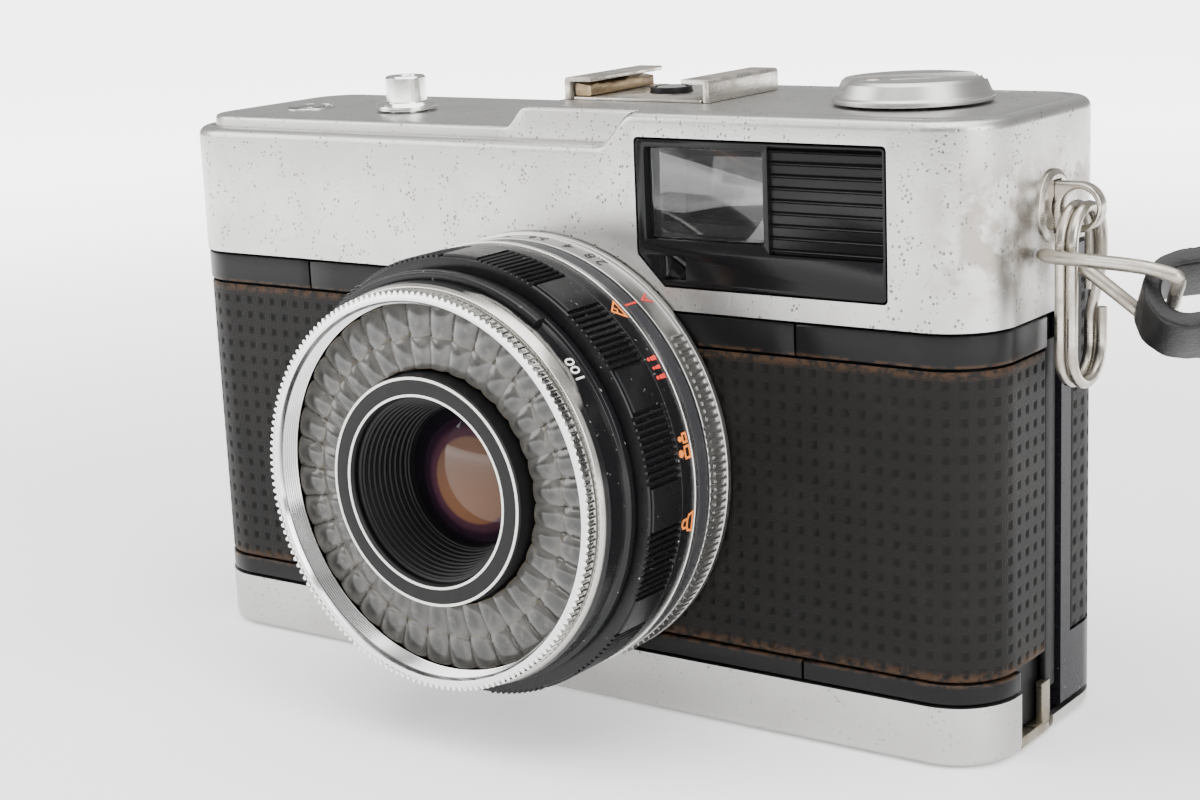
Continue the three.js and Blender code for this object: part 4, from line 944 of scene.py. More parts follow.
def stations(s0, s1, coarse=4.0, fine=0.6):
    """Distances along the outline, close together in the corners."""
    edges = [side * edge for side in (1, -1)
             for edge in (STRAIGHT, STRAIGHT + ARC, 2 * TO_SIDE - STRAIGHT - ARC,
                          2 * TO_SIDE - STRAIGHT)]

    def in_corner(s):
        folded = min(abs(s), 2 * TO_SIDE - abs(s))
        return STRAIGHT - 1e-3 <= folded <= STRAIGHT + ARC + 1e-3
    return marks_between(s0, s1, edges, in_corner, coarse, fine)


def skin(section, s0, s1, coarse=4.0):
    """A closed (inset, z) section carried along the outline."""
    rows = []
    for s in stations(s0, s1, coarse):
        rows.append([(*outline_point(s, inset), z) for inset, z in section])
    return swept(rows)


def ease(t):
    t = min(max(t, 0.0), 1.0)
    return t * t * (3 - 2 * t)


print("outline is", round(4 * TO_SIDE, 1), "mm round")

# %% [markdown]
# ## The top cover
#
# The cover is drawn from sheet in two tiers: a front lip that climbs in an S beside the
# lens, a narrow ledge, and a deck that steps up on a short ramp. The skin is built as
# rings of points whose heights depend on x, closed across the deck, thickened like
# sheet, and then cut for the window, the wheel, the button and the lugs.

# %% Two tiers and their openings
LIP_LOW, DECK_LOW, DECK_HIGH = 67.1, 68.5, 70.9
COVER_LEFT, COVER_RIGHT, COVER_REAR = 51.1, 48.7, 55.7
DOOR_EDGE = 2.6
SHEET = 0.9
BUTTON_AT, KNOB_AT, COUNTER_AT, WHEEL_AT = (-29.7, -2.5), (41.3, 0.2), (-46, -3), (-43.5, 6.6)
LUG_Z = 60.3


def lip_height(x):
    return LIP_LOW + (DECK_HIGH - LIP_LOW) * ease((x - 9.4) / 4.8)


def deck_height(x):
    return DECK_LOW + (DECK_HIGH - DECK_LOW) * ease((x + 5.35) / 2.9)


def top_rings():
    roll = [(1.15 * (1 - math.cos(a)), -1.15 * (1 - math.sin(a)))
            for a in np.linspace(0, math.pi / 2, 6)]
    front = []
    for s in stations(-TO_SIDE, TO_SIDE, 0.6):
        x = outline_point(s)[0]
        lip, deck = lip_height(x), deck_height(x)
        wall_foot = lip - 0.22
        profile = [(0, COVER_RIGHT - 0.5), (0, (COVER_RIGHT + lip) / 2)]
        profile += [(inset, lip + drop) for inset, drop in roll]
        profile += [(1.85, lip), (2.05, wall_foot), (2.22, wall_foot),
                    (2.30, max(deck - 0.45, wall_foot + 0.02)),
                    (2.40, max(deck - 0.15, wall_foot + 0.04)), (2.75, deck), (4.4, deck)]
        front.append([(*outline_point(s, inset), z) for inset, z in profile])
    return front


def mirrored_shell(front, bridged_last):
    """Rows of points and their mirror behind, bridged along their last or first point."""
    rows, n = len(front), len(front[0])
    verts = [p for row in front for p in row]
    verts += [(x, -y, z) for x, y, z in verts]
    faces = []
    for i in range(rows - 1):
        a, b = i * n, (i + 1) * n
        c, d = a + rows * n, b + rows * n
        for k in range(n - 1):
            faces.append((a + k, b + k, b + k + 1, a + k + 1))
            faces.append((c + k, c + k + 1, d + k + 1, d + k))
        last = n - 1
        faces.append((a + last, b + last, d + last, c + last) if bridged_last
                     else (a, c, d, b))
    return verts, faces


def drawn_sheet(name, shell, cutters, replaces, above_table=False):
    """A shell thickened like sheet metal and then cut."""
    piece = shown(raw_mesh(name, shell), name)
    modifier(piece, "SOLIDIFY", thickness=SHEET * MM, offset=-1.0)
    settled(piece)
    if above_table:  # the skin added below the resting face is turned upwards
        for corner in piece.data.vertices:
            corner.co.z = abs(corner.co.z)
        edited(piece.data, faced_outwards)
    tools = cut_by(piece, cutters)
    modifier(piece, "WEIGHTED_NORMAL", keep_sharp=True)
    settled(piece)
    for tool in tools:
        bpy.data.objects.remove(tool)
    return rode(piece, BODY, CHROME, replaces, 38)


def finder_outline(inset):
    left, right, bottom, top = 14.8 + inset, 46.4 - inset, 51.5 + inset, 68.0 - inset
    corner = 3.5 - inset / 2
    return [(left, bottom + corner), (left + corner, bottom), (right, bottom), (right, top),
            (left, top)]


cover_cutters = [
    slab(-90, 0.6, -90, DOOR_EDGE - 0.3, 20, COVER_LEFT),
    slab(-1, 90, -90, DOOR_EDGE - 0.3, 20, COVER_RIGHT),
    slab(-90, 90, DOOR_EDGE - 0.3, 90, 20, COVER_REAR),
    stood_up(prism(fillet(finder_outline(-0.2), 0.6), -20, -12)),
    slab(18.8, 30.4, 12, 18, 58.0, 66.2),
    disc(11.6, 58.2, 63.0, *WHEEL_AT, 64), disc(2.9, 60, 80, *BUTTON_AT),
    disc(3.3, 60, 80, *KNOB_AT), disc(3.2, 60, 80, *COUNTER_AT),
    slab(-90, -50, -1.2, 1.2, 57.3, 63.3), slab(50, 90, -1.2, 1.2, 57.3, 63.3),
    on_lens(lathe([(0, -4), (22.3, -4), (22.3, 2), (0, 2)])),
]
cover = drawn_sheet("drawn_top_cover", mirrored_shell(top_rings(), True), cover_cutters,
                    "top_cover")
print("top cover:", len(cover.data.polygons), "faces")

# %% [markdown]
# ## Base cover, bands and covering
#
# The base is a shallow tray with a rolled edge. Above it run moulded bands with softened
# edges, and between them a pressed covering whose little square dimples are modelled.

# %% The tray underneath
def tray_rings():
    roll = [(1.3 * (1 - math.sin(a)), 1.3 * (1 - math.cos(a)))
            for a in np.linspace(0, math.pi / 2, 6)]
    profile = [(6.5, 0.0), (2.5, 0.0)] + roll + [(0, 4.0), (0, 7.1)]
    return [[(*outline_point(s, inset), z) for inset, z in profile]
            for s in stations(-TO_SIDE, TO_SIDE, 6.0)]


BUSH_AT, RELEASE_AT, BASE_SCREW_X = (-14, 0), (22, 3), 47
tray_cutters = [
    slab(-90, 90, -1.2, 90, 1.9, 20), slab(50, 90, -7.5, 90, 1.9, 20),
    slab(54.1, 90, -7.5, 0.7, -1, 20), disc(6.8, -1, 3, *BUSH_AT), disc(2.7, -1, 3, *RELEASE_AT),
    disc(2.4, -1, 3, -BASE_SCREW_X, 0), disc(2.4, -1, 3, BASE_SCREW_X, 0),
]
drawn_sheet("drawn_base_tray", mirrored_shell(tray_rings(), False), tray_cutters, "base_cover",
            above_table=True)

# %% Moulded bands with softened edges
END_LEFT, END_RIGHT = -side_distance(-1.2), side_distance(-0.9)
LOW_END_RIGHT = side_distance(-7.5)


def band(name, z0, z1, s0, s1, coat):
    section = fillet([(0.12, z0), (0.12, z1), (1.1, z1), (1.1, z0)], [0.28, 0.28, 0.1, 0.1], 3)
    return make(name + "_moulding", skin(section, s0, s1), BODY, coat, name, bevel=0.12,
                bevel_angle=60)


band("band_upper_left_end", 47.2, 50.8, END_LEFT, -36.25, BAND_LEFT)
band("band_upper_left", 47.2, 50.8, -35.95, -15.0, BAND_LEFT)
band("band_upper_right", 44.8, 48.4, 16.2, 34.85, BAND_RIGHT)
band("band_upper_right_end", 44.8, 48.4, 35.15, END_RIGHT, BAND_RIGHT)
band("band_lower_left", 7.4, 9.7, END_LEFT, -6.0, BAND_LOW)
band("band_lower_right", 7.4, 9.7, 7.2, 34.85, BAND_LOW)
band("band_lower_right_end", 7.4, 9.7, 35.15, LOW_END_RIGHT, BAND_LOW)


# %% The pressed covering
PITCH = 2.0


def dimple_depth(s, z):
    u = abs(((s / PITCH) % 1.0) - 0.5)
    v = abs(((z / PITCH) % 1.0) - 0.5)
    edge = max(u, v)
    return 0.16 * (1 - ease((edge - 0.10) / 0.11))


def pressed_sheet(place, across, up, base, hole=0.0):
    """A sheet of covering along the outline, with its relief and a map of its weave."""
    verts, weave, faces = [], [], []
    for i, s in enumerate(across):
        for k, z in enumerate(up):
            border = i in (0, len(across) - 1) or k in (0, len(up) - 1)
            inset = base + (0.12 if border else dimple_depth(s, z))
            verts.append((*place(s, inset), z))
            weave.append((s / PITCH, z / PITCH))
    for face in grid_faces(len(across), len(up)):
        x, z = (np.mean([verts[corner][axis] for corner in face]) for axis in (0, 2))
        if math.hypot(x - LENS_X, z - LENS_Z) >= hole:
            faces.append(face)
    return np.array(verts), faces, weave


def cover_sheet(name, sheet, body, replaces):
    piece = shown(edited(mapped_mesh(name, *sheet), without_loose_points), name)
    modifier(piece, "SOLIDIFY", thickness=0.7 * MM, offset=-1.0)
    settled(piece)
    return rode(piece, body, LEATHER, replaces, 50)


for side, s0, s1, top in (("left", END_LEFT, -7.4, 46.9), ("right", 8.6, END_RIGHT, 44.5)):
    across, up = (np.linspace(low, high, int(round((high - low) / 0.25)) + 1)
                  for low, high in ((s0, s1), (10.0, top)))
    cover_sheet("covering_" + side, pressed_sheet(outline_point, across, up, 0.22, 22.6),
                BODY, "leather_" + side)
print("covering pressed")

# %% [markdown]
# ## The lens
#
# The lens is a stack of turned rings on one axis. Each ring is a profile with rounded
# corners, turned, and then dressed: rows of grip ribs, a sawtooth edge, a knurled rim,
# figures and small distance symbols wrapped onto the ring. Heights are counted forward
# from the body's front face.

# %% Turned rings
def lens_turned(name, profile, body, coat, replaces=(), radius=0.12, segments=160,
                start=0.0, sweep=360.0):
    shape = on_lens(lathe(fillet(profile, radius, 3), segments, start, sweep))
    return make(name, shape, body, coat, replaces, angle=38)


def band_profile(inner, outer, low, high):
    return [(inner, low), (outer, low), (outer, high), (inner, high)]


lens_turned("aperture_band", [(20.3, 0.3), (25.95, 0.3), (25.95, 1.05), (25.55, 1.15),
                              (25.55, 3.3), (25.7, 3.45), (25.7, 4.3), (20.3, 4.3)], "aperture",
            CHROME_RING, "aperture_ring")
lens_turned("index_band", band_profile(20.3, 25.62, 4.6, 6.45), BODY, INDEX_PAINT, "index_ring")
lens_turned("focus_band", [(20.3, 7.5), (25.62, 7.5), (25.62, 9.8), (25.25, 10.0),
                           (25.25, 15.5), (25.45, 15.7), (25.3, 15.95), (24.05, 16.0),
                           (20.3, 16.0)], "focus", PAINT, "focus_ring")
lens_turned("focus_rear_line", band_profile(20.3, 25.8, 6.78, 7.52), "focus", BARE_LINE)
lens_turned("speed_band", [(22.4, 16.3), (23.9, 16.3), (23.9, 17.3), (23.5, 17.5), (23.4, 18.2),
                           (23.4, 20.3), (23.05, 21.75), (22.4, 21.75)], "speed", SPEED_PAINT,
            "speed_ring", 0.2)
lens_turned("speed_lug_arc", band_profile(23.2, 24.35, 17.7, 19.3), "speed", PAINT, (), 0.35,
            70, 55, 118)

# %% The chrome rim with its inner thread and knurled edge
thread = thread_teeth(7, 22.95, -THREAD_PITCH, 21.55, 21.3)
rim = [(21.75, 23.5), (22.55, 23.5), (22.62, 21.95), (22.3, 21.8), (22.3, 17.1), (21.9, 17.1),
       (21.9, 20.4), (21.32, 20.55)]
lens_turned("rim_with_thread", rim + thread[::-1], "speed", RIM_CHROME, "front_rim", 0.05, 200)
knurl = half_round(0.52, 1.25, 0.36, 4)
lens_row("rim_knurl", knurl, 170, 22.55, 22.98, BRIGHT, "speed")


# %% Grips on the rings
FOCUS_GROUPS = 12
focus_rib = half_round(0.52, 6.0, 0.42, 4)
for group in range(FOCUS_GROUPS):
    lens_row(f"focus_ribs_{group}", focus_rib, 10, 25.3, 12.95, PAINT, "focus",
             13.2 - 8.1 + 30 * group, 18.0)
for group in range(FOCUS_GROUPS):
    lens_turned(f"focus_panel_{group}", band_profile(25.0, 25.68, 9.85, 15.6), "focus", PAINT,
                (), 0.15, 10, 13.2 + 9.6 + 30 * group, 10.8)
lens_row("aperture_grip", half_round(0.60, 2.15, 0.38, 4), 50, 25.52, 2.25, CHROME_RING,
         "aperture", -61.0, 100.0)
tooth = prism([(-0.3, -0.48), (0.5, -0.02), (0.5, 0.02), (-0.3, 0.48)], -0.42, 0.42)
lens_row("aperture_teeth", tooth, 36, 25.55, 3.86, CHROME_RING, "aperture", -61.0, 76.0)


# %% [markdown]
# ## Figures wrapped onto a ring
#
# Figures are made as flat text, turned into a mesh and bent round the ring: the reading
# direction becomes an angle and the height of a figure becomes a distance forward.

# %% Bending figures and strokes
def text_shape(text, size):
    data = bpy.data.curves.new("figure", "FONT")
    data.body = text
    data.size = size
    data.align_x = "CENTER"
    data.align_y = "CENTER"
    data.extrude = 0.05
    data.resolution_u = 3
    carrier = bpy.data.objects.new("figure", data)
    bpy.context.scene.collection.objects.link(carrier)
    bpy.context.view_layer.update()
    graph = bpy.context.evaluated_depsgraph_get()
    mesh = bpy.data.meshes.new_from_object(carrier.evaluated_get(graph))
    verts = np.array([tuple(v.co) for v in mesh.vertices])
    faces = [tuple(p.vertices) for p in mesh.polygons]
    bpy.data.objects.remove(carrier)
    bpy.data.meshes.remove(mesh)
    return verts, faces


def stroke(points, width=0.22):
    """Thin flat bars along a broken line."""
    parts = []
    for a, b in zip(points[:-1], points[1:]):
        a, b = Vector(a), Vector(b)
        run = (b - a).normalized()
        side = Vector((-run.y, run.x)) * width / 2
        a, b = a - run * width / 2, b + run * width / 2
        parts.append(prism([tuple(a - side), tuple(b - side), tuple(b + side), tuple(a + side)],
                           -0.05, 0.05))
    return joined(*parts)


def dot(x, y, radius):
    outline = [(x + radius * math.cos(a), y + radius * math.sin(a))
               for a in np.linspace(0, 2 * math.pi, 12, endpoint=False)]
    return prism(outline, -0.05, 0.05)


def wrapped(shape, theta, forward, radius):
    def rule(x, y, z):
        angle = math.radians(theta) + x / radius
        r = radius + 0.04 + z
        return r * np.cos(angle), r * np.sin(angle), forward + y
    return on_lens(reshaped(shape, rule))


stops = [("2.8", 67.5), ("4", 76.5), ("5.6", 86.5), ("8", 97), ("11", 107), ("16", 118),
         ("22", 129)]
figures = [wrapped(text_shape(text, 2.3), angle, 2.2, 25.5) for text, angle in stops]
make("aperture_figures", joined(*figures), "aperture", BLACK_MARK)
letter = wrapped(text_shape("A", 2.3), 49.8, 2.3, 25.5)
index_mark = wrapped(stroke([(0, -0.95), (0, 0.95)], 0.26), 49.5, 5.5, 25.58)
make("aperture_letter", letter, "aperture", RED)
make("index_line", index_mark, BODY, RED)

peak = joined(stroke([(-1.15, -0.7), (0.05, 0.9), (1.2, -0.7), (-1.15, -0.7)], 0.2),
              stroke([(-0.35, 0.25), (0.05, -0.1), (0.42, 0.25)], 0.17))


def figure_of(x, scale):
    body = [(x - 0.34 * scale, -0.85 * scale), (x + 0.34 * scale, -0.85 * scale),
            (x + 0.24 * scale, 0.35 * scale), (x - 0.24 * scale, 0.35 * scale)]
    return joined(prism(body, -0.05, 0.05), dot(x, 0.72 * scale, 0.26 * scale))


def bust_of(x, scale):
    body = [(x - 0.55 * scale, -0.7 * scale), (x - 0.55 * scale, 0.1 * scale),
            (x + 0.55 * scale, 0.1 * scale), (x + 0.55 * scale, -0.7 * scale),
            (x - 0.55 * scale, -0.7 * scale)]
    return joined(stroke(body, 0.26), dot(x, 0.75 * scale, 0.38 * scale))


portrait = joined(stroke([(-1.1, -0.75), (-0.9, 0.0), (-0.35, 0.25), (0.35, 0.25), (0.9, 0.0),
                          (1.1, -0.75), (-1.1, -0.75)], 0.24),
                  stroke([(-0.5, 0.45), (-0.45, 1.0), (0.0, 1.25), (0.45, 1.0), (0.5, 0.45)],
                         0.24))
orange_zones = [wrapped(peak, 48.9, 8.5, 25.6),
                wrapped(joined(bust_of(-0.75, 1.15), bust_of(0.85, 0.85)), 10.9, 8.5, 25.6),
                wrapped(portrait, -8.7, 8.5, 25.6)]
make("zone_symbols_orange", joined(*orange_zones), "focus", ORANGE)
group = joined(figure_of(-1.15, 0.9), figure_of(0.0, 0.75), figure_of(1.1, 0.9))
make("zone_symbol_red", wrapped(group, 31.4, 8.55, 25.6), "focus", RED)
make("film_speed_figure", wrapped(text_shape("100", 2.1), 39.0, 18.5, 23.42), "speed", WHITE)

# %% [markdown]
# ## The light-cell lens, the front plate and the throat
#
# The ring round the glass is one moulding of small lenses in two rows. It is a height
# field in polar rings: each cell swells to a low dome and meets its neighbours in a
# crease. The throat steps inwards in fine ridges that keep stray light from the glass.

# %% Lenslets as one moulded surface
CELL_COUNT = 36
CELL_ROWS = ((13.75, 17.35), (17.35, 21.05))


def cell_bed():
    per_cell, per_row = 10, 9
    radii, row_of = [], []
    for row, (inner, outer) in enumerate(CELL_ROWS):
        for k in range(per_row):
            radii.append(inner + (outer - inner) * k / per_row)
            row_of.append(row + k / per_row)
    radii.append(CELL_ROWS[-1][1])
    row_of.append(2.0)
    verts, weave = [], []
    columns = CELL_COUNT * per_cell
    for i in range(columns + 1):
        angle = 2 * math.pi * i / columns
        u = (i % per_cell) / per_cell
        for r, v in zip(radii, row_of):
            local = v - math.floor(v) if v < 2 else 1.0
            across = 1 - (2 * u - 1) ** 2
            along = 1 - (2 * local - 1) ** 2
            slope = 20.55 - 0.05 * (r - 13.6)
            wave = 0.16 * math.cos(2 * math.pi * u) * math.sin(math.pi * min(v, 2.0) / 2)
            swell = 0.46 * across ** 0.6 + 0.26 * across ** 0.4 * along ** 0.7 - 0.55
            verts.append(((r + wave) * math.cos(angle), (r + wave) * math.sin(angle),
                          slope + swell))
            weave.append((i / per_cell, v))
    return np.array(verts), grid_faces(columns + 1, len(radii)), weave


def cell_finish():
    f = Finish("smoky_light_cells", (0.082, 0.079, 0.073), 0.16, Coat_Weight=0.35,
               Coat_Roughness=0.05, Specular_IOR_Level=0.4)
    across, row = f.weave()
    edge_u, edge_v = off_middle(across), off_middle(row)
    cloud = f.noise(620, 4)
    # painted shade and highlight: each cell's heart is darkened, leaving its rim lighter as a
    # painted glint
    painted_heart_shade = (1 - (edge_u * edge_u * 1.2 + edge_v * edge_v * 0.7) * 6.0).ramp(0.15, 0.95)
    f.tint(painted_heart_shade * (0.55 + cloud * 0.6), (0.020, 0.0195, 0.019))
    f.tint(cloud.ramp(0.50, 0.72) * 0.5, (0.150, 0.143, 0.125))
    crease = edge_u.most(edge_v).ramp(0.43, 0.49) * f.noise(900, 3).ramp(0.36, 0.56)
    f.tint(crease * 0.6, (0.135, 0.105, 0.058))
    # painted shade in the creases between the two rows of cells
    f.tint(edge_v.ramp(0.40, 0.5) * 0.4, (0.045, 0.040, 0.030))
    f.feed("Roughness", 0.10 + cloud * 0.22 + crease * 0.2)
    f.bump(cloud, 0.2, 0.2)
    return f.material


bed_verts, bed_faces, bed_weave = cell_bed()
bed_verts, _ = on_lens((bed_verts, bed_faces))
bed = shown(mapped_mesh("light_cell_lens", bed_verts, bed_faces, bed_weave), "light_cell_lens")
modifier(bed, "WELD", merge_threshold=WELD)
modifier(bed, "SOLIDIFY", thickness=0.5 * MM, offset=-1.0)
settled(bed)
edited(bed.data, faced_outwards)
rode(bed, BODY, (cell_finish(), "cell_lens"), "cell_ring", 60)

# %% Front plate, its two circles, and the ridged throat
lens_turned("front_plate", [(10.7, 22.75), (10.95, 23.2), (13.1, 23.2), (13.3, 22.9),
                            (13.3, 19.0), (12.5, 19.0), (12.5, 22.4), (10.7, 22.4)], BODY, MATT,
            "name_ring", 0.08)
for name, inner, outer in (("outer", 12.86, 13.16), ("inner", 10.92, 11.2)):
    lens_turned(f"front_plate_{name}_circle", band_profile(inner, outer, 23.15, 23.24), BODY,
                WHITE, (), 0.0)
RIDGE_COUNT = 9
ridges = []
for k in range(RIDGE_COUNT):
    h = 21.9 - k * 0.66
    r = 10.35 - k * 0.22
    ridges += [(r, h), (r, h - 0.26), (r - 0.2, h - 0.32), (r - 0.2, h - 0.62)]
throat = [(12.3, 22.05), (12.3, 19.1), (11.4, 19.1), (11.4, 13.4), (7.9, 13.4), (8.25, 15.9)]
lens_turned("ridged_throat", throat + ridges[::-1] + [(10.6, 22.05)], BODY, MATT, "lens_throat",
            0.05)

# %% The coated front glass, with a painted reflection and painted shade
def glass_painted_reflection():
    f = Finish("amber_coating", (0.150, 0.072, 0.040), 0.03, Coat_Weight=0.12,
               Coat_Roughness=0.01, Specular_IOR_Level=0.18)
    x, _, z = f.axes()
    dx, dz = x - (LENS_X + 1.3), z - (LENS_Z - 0.2)
    reach = dx * dx + dz * dz
    # painted reflection: an amber patch round a point beside the lens axis, its hue shifting
    # towards the top
    f.tint((z - LENS_Z).ramp(-4.5, 3.5) * 0.6, (0.105, 0.068, 0.052))
    # painted shade: darker in rings out towards the glass's rim, to near black at its edge
    f.tint(reach.ramp(24.0, 29.0), (0.050, 0.020, 0.030))
    f.tint(reach.ramp(32.0, 44.0), (0.014, 0.006, 0.013))
    f.tint(reach.ramp(50.0, 58.0), (0.004, 0.003, 0.005))
    f.feed("Roughness", 0.02 + f.noise(500, 3) * 0.04)
    return f.material


GLASS_RADIUS, GLASS_TOP, GLASS_SAG = 8.2, 16.6, 1.5
dome = [(GLASS_RADIUS * t, GLASS_TOP - GLASS_SAG * t * t) for t in np.linspace(0, 1, 16)]
lens_turned("front_element", dome + [(GLASS_RADIUS, 13.7), (0, 13.7)], BODY,
            (glass_painted_reflection(), "coated_glass"), "front_glass", 0.0, 96)
print("lens dressed")

# %% [markdown]
# ## The viewfinder window
#
# One moulding holds the viewing pane, a panel of glossy ribs, and a dark strip below with
# the meter's small port. It is cut from a single outline with
# one clipped corner, and the ribs are repeated along a line.

# %% Frame, pane, ribs and port
FACE_Y = -15.95


def front_slab(x0, x1, z0, z1, y0, y1, radius=0.3):
    """A block seen from the front with rounded corners."""
    return stood_up(rounded_box(x0, x1, z0, z1, y0, y1, radius))


make("finder_frame", stood_up(prism(fillet(finder_outline(0.05), 0.45), FACE_Y, -13.7)), BODY,
     RIBBED, "finder_bezel", bevel=0.18, bevel_angle=50,
     cutters=[front_slab(15.9, 31.4, 56.7, 67.1, -20, -10, 0.5),
              front_slab(32.0, 46.1, 55.8, 67.7, -20, -15.1, 0.3),
              front_slab(17.7, 21.1, 52.1, 54.9, -20, -14.6, 0.3)])


def laid(shape):
    """A rib drawn along Z and standing on +X, laid along X and facing the front."""
    return reshaped(shape, lambda x, y, z: (z, -x, y))


line_row("finder_ribs", laid(half_round(0.44, 13.9, 0.62, 6)), 9, (39.05, -15.15, 56.25),
         (0, 0, 1.36), RIBBED, BODY)
SMOKED = glass("smoked_glass", (0.35, 0.35, 0.36), 0.02), "clear_glass"
make("finder_pane", front_slab(15.95, 31.35, 56.75, 67.05, -14.9, -14.2, 0.4), BODY, CLEAR,
     "finder_window", bevel=0.1)
make("finder_inner_mask", front_slab(16.2, 31.0, 57.9, 66.3, -11.4, -10.9, 0.2), BODY,
     (MATT[0], "black_plastic"), (), cutters=[front_slab(19.2, 29.6, 58.9, 65.3, -20, 0, 0.8)])
make("finder_objective", front_slab(17.6, 30.0, 58.75, 65.5, -9.2, -8.2, 0.6), BODY, SMOKED, (),
     bevel=0.2)
make("bright_frame_mask", front_slab(19.4, 28.6, 59.6, 64.8, -3.2, -3.0, 0.4), BODY, BRIGHT, (),
     cutters=[front_slab(20.0, 28.0, 60.2, 64.2, -9, 9, 0.4)])
make("meter_port_glass", front_slab(17.75, 21.05, 52.15, 54.85, -14.95, -14.62, 0.25), BODY,
     SMOKED)
coated(NODES["finder_tube"], MATT)
make("eyepiece_frame", front_slab(19.1, 30.1, 58.6, 65.6, 14.6, 17.0, 1.0), BODY, PLASTIC,
     "eyepiece", bevel=0.25, bevel_angle=50,
     cutters=[front_slab(20.7, 28.5, 60.0, 64.2, 15.5, 20, 0.6)])
make("eyepiece_glass", front_slab(20.8, 28.4, 60.1, 64.1, 15.55, 16.0, 0.5), BODY, SMOKED, (),
     bevel=0.12)
print("viewfinder dressed")

# %% [markdown]
# ## Controls on the deck
#
# The release button is turned, with a threaded hole for a cable. The rewind knob is a
# low cone with a slot in which a folding crank lies. The accessory shoe is two folded
# rails over a floor plate with a round contact and a corroded leaf spring at the left.

# %% Release button and collar
def turned_piece(name, profile, x, y, body, coat, replaces=(), radius=0.12,
                 segments=72, **extra):
    shape = moved(lathe(fillet(profile, radius, 3), segments), x, y)
    return make(name, shape, body, coat, replaces, angle=38, **extra)


button_bore = thread_teeth(6, 72.6, -0.36, 1.28, 1.12)
turned_piece("release_button", [(0, 62), (2.6, 62), (2.6, 72.75), (2.35, 73.0),
                                (1.45, 73.0)] + button_bore + [(1.1, 70.2), (0, 70.2)],
             *BUTTON_AT, "shutter", BRIGHT, "shutter_button", 0.05)
turned_piece("release_collar",
             [(2.9, 68.75), (3.95, 68.75), (3.95, 69.25), (3.5, 69.75), (2.9, 69.8)],
             *BUTTON_AT, BODY, BRIGHT, "shutter_collar", 0.15)

# %% Rewind knob, crank, shaft and sleeve
KNOB_X, KNOB_Y = KNOB_AT
CRANK_TURN = math.radians(35)


def on_knob(shape):
    c, s = math.cos(CRANK_TURN), math.sin(CRANK_TURN)
    return reshaped(shape, lambda x, y, z: (KNOB_X + x * c - y * s, KNOB_Y + x * s + y * c, z))


turned_piece("coned_rewind_knob", [(0, 71.2), (9.0, 71.2), (9.05, 71.75), (8.75, 72.0),
                                   (8.15, 73.45), (7.7, 73.8), (0, 73.8)], *KNOB_AT, "rewind",
             CHROME_RING, "rewind_knob", 0.2, 120,
             cutters=[on_knob(rounded_box(-10.5, 7.8, -2.85, 2.85, 72.2, 80, 0.4)),
                      on_knob(rounded_box(5.9, 10.5, -1.8, 1.8, 72.2, 80, 0.9))], bevel=0.14,
             bevel_angle=50)
make("folding_crank", on_knob(rounded_box(-6.0, 7.35, -2.0, 2.0, 72.52, 73.5, 0.9)), "crank",
     CHROME_RING, "rewind_crank", bevel=0.22, bevel_angle=50,
     cutters=[on_knob(rounded_box(-2.6, 3.4, -1.2, 1.2, 73.25, 75, 0.6))])
crank_screw = lathe(fillet([(0, 73.3), (1.0, 73.3), (1.0, 73.62), (0.8, 73.75), (0, 73.75)],
                           0.1, 3), 32)
make("crank_screw", on_knob(moved(crank_screw, -4.4)), "crank", STEEL, (),
     cutters=[on_knob(slab(-5.6, -3.2, -0.14, 0.14, 73.58, 74))])
turned_piece("rewind_spindle", [(0, 46), (1.5, 46), (1.9, 46.5), (1.9, 70.9), (0, 70.9)],
             *KNOB_AT, "rewind", STEEL, "rewind_shaft", 0.2, 48,
             cutters=[slab(KNOB_X - 0.7, KNOB_X + 0.7, -4, 4.4, 45, 49.5)])
turned_piece("rewind_collar", [(1.98, 57.3), (3.2, 57.3), (3.2, 70.7), (1.98, 70.7)], *KNOB_AT,
             "rewind_drive", STEEL, "rewind_sleeve", 0.15, 48)

# %% Accessory shoe
CONTACT_AT = (8.2, 1.7)
RAIL_REACH = 9.4


def rail(name, side, replaces):
    inner = CONTACT_AT[0] + side * RAIL_REACH
    section = [(0, 70.95), (0.8 * side, 70.95), (0.8 * side, 73.6), (-3.0 * side, 73.6),
               (-3.0 * side, 73.05), (0, 73.05)]
    outline = fillet([(inner + x, z) for x, z in section], [0.1, 0.1, 0.5, 0.15, 0.15, 0.25])
    shape = stood_up(prism(outline, -6.0, 9.4))
    make(name, shape, BODY, STEEL, replaces, bevel=0.1, bevel_angle=50)


rail("left_shoe_rail", -1, "shoe_rail_left")
rail("right_shoe_rail", 1, "shoe_rail_right")
make("shoe_floor", rounded_box(-0.9, 17.3, -6.0, 9.4, 70.95, 71.25, 0.5), BODY, STEEL,
     "shoe_plate", bevel=0.08)
turned_piece("hot_contact_rim", [(2.0, 71.2), (2.6, 71.2), (2.5, 71.95), (2.0, 71.95)],
             *CONTACT_AT, BODY, PLASTIC, (), 0.08)
turned_piece("hot_contact", [(0, 71.2), (1.9, 71.2), (1.9, 71.8), (1.6, 71.95), (0, 72.0)],
             *CONTACT_AT, BODY, (BRIGHT[0], "steel"), "shoe_contact", 0.08)
for i, x in enumerate((3.2, 13.2)):
    turned_piece(f"shoe_screw_{i}", [(0, 71.2), (1.35, 71.2), (1.2, 71.55), (0, 71.62)], x, 6.6,
                 BODY, STEEL, (), 0.1, 32,
                 cutters=[slab(x - 1.5, x + 1.5, 6.45, 6.75, 71.46, 72)])

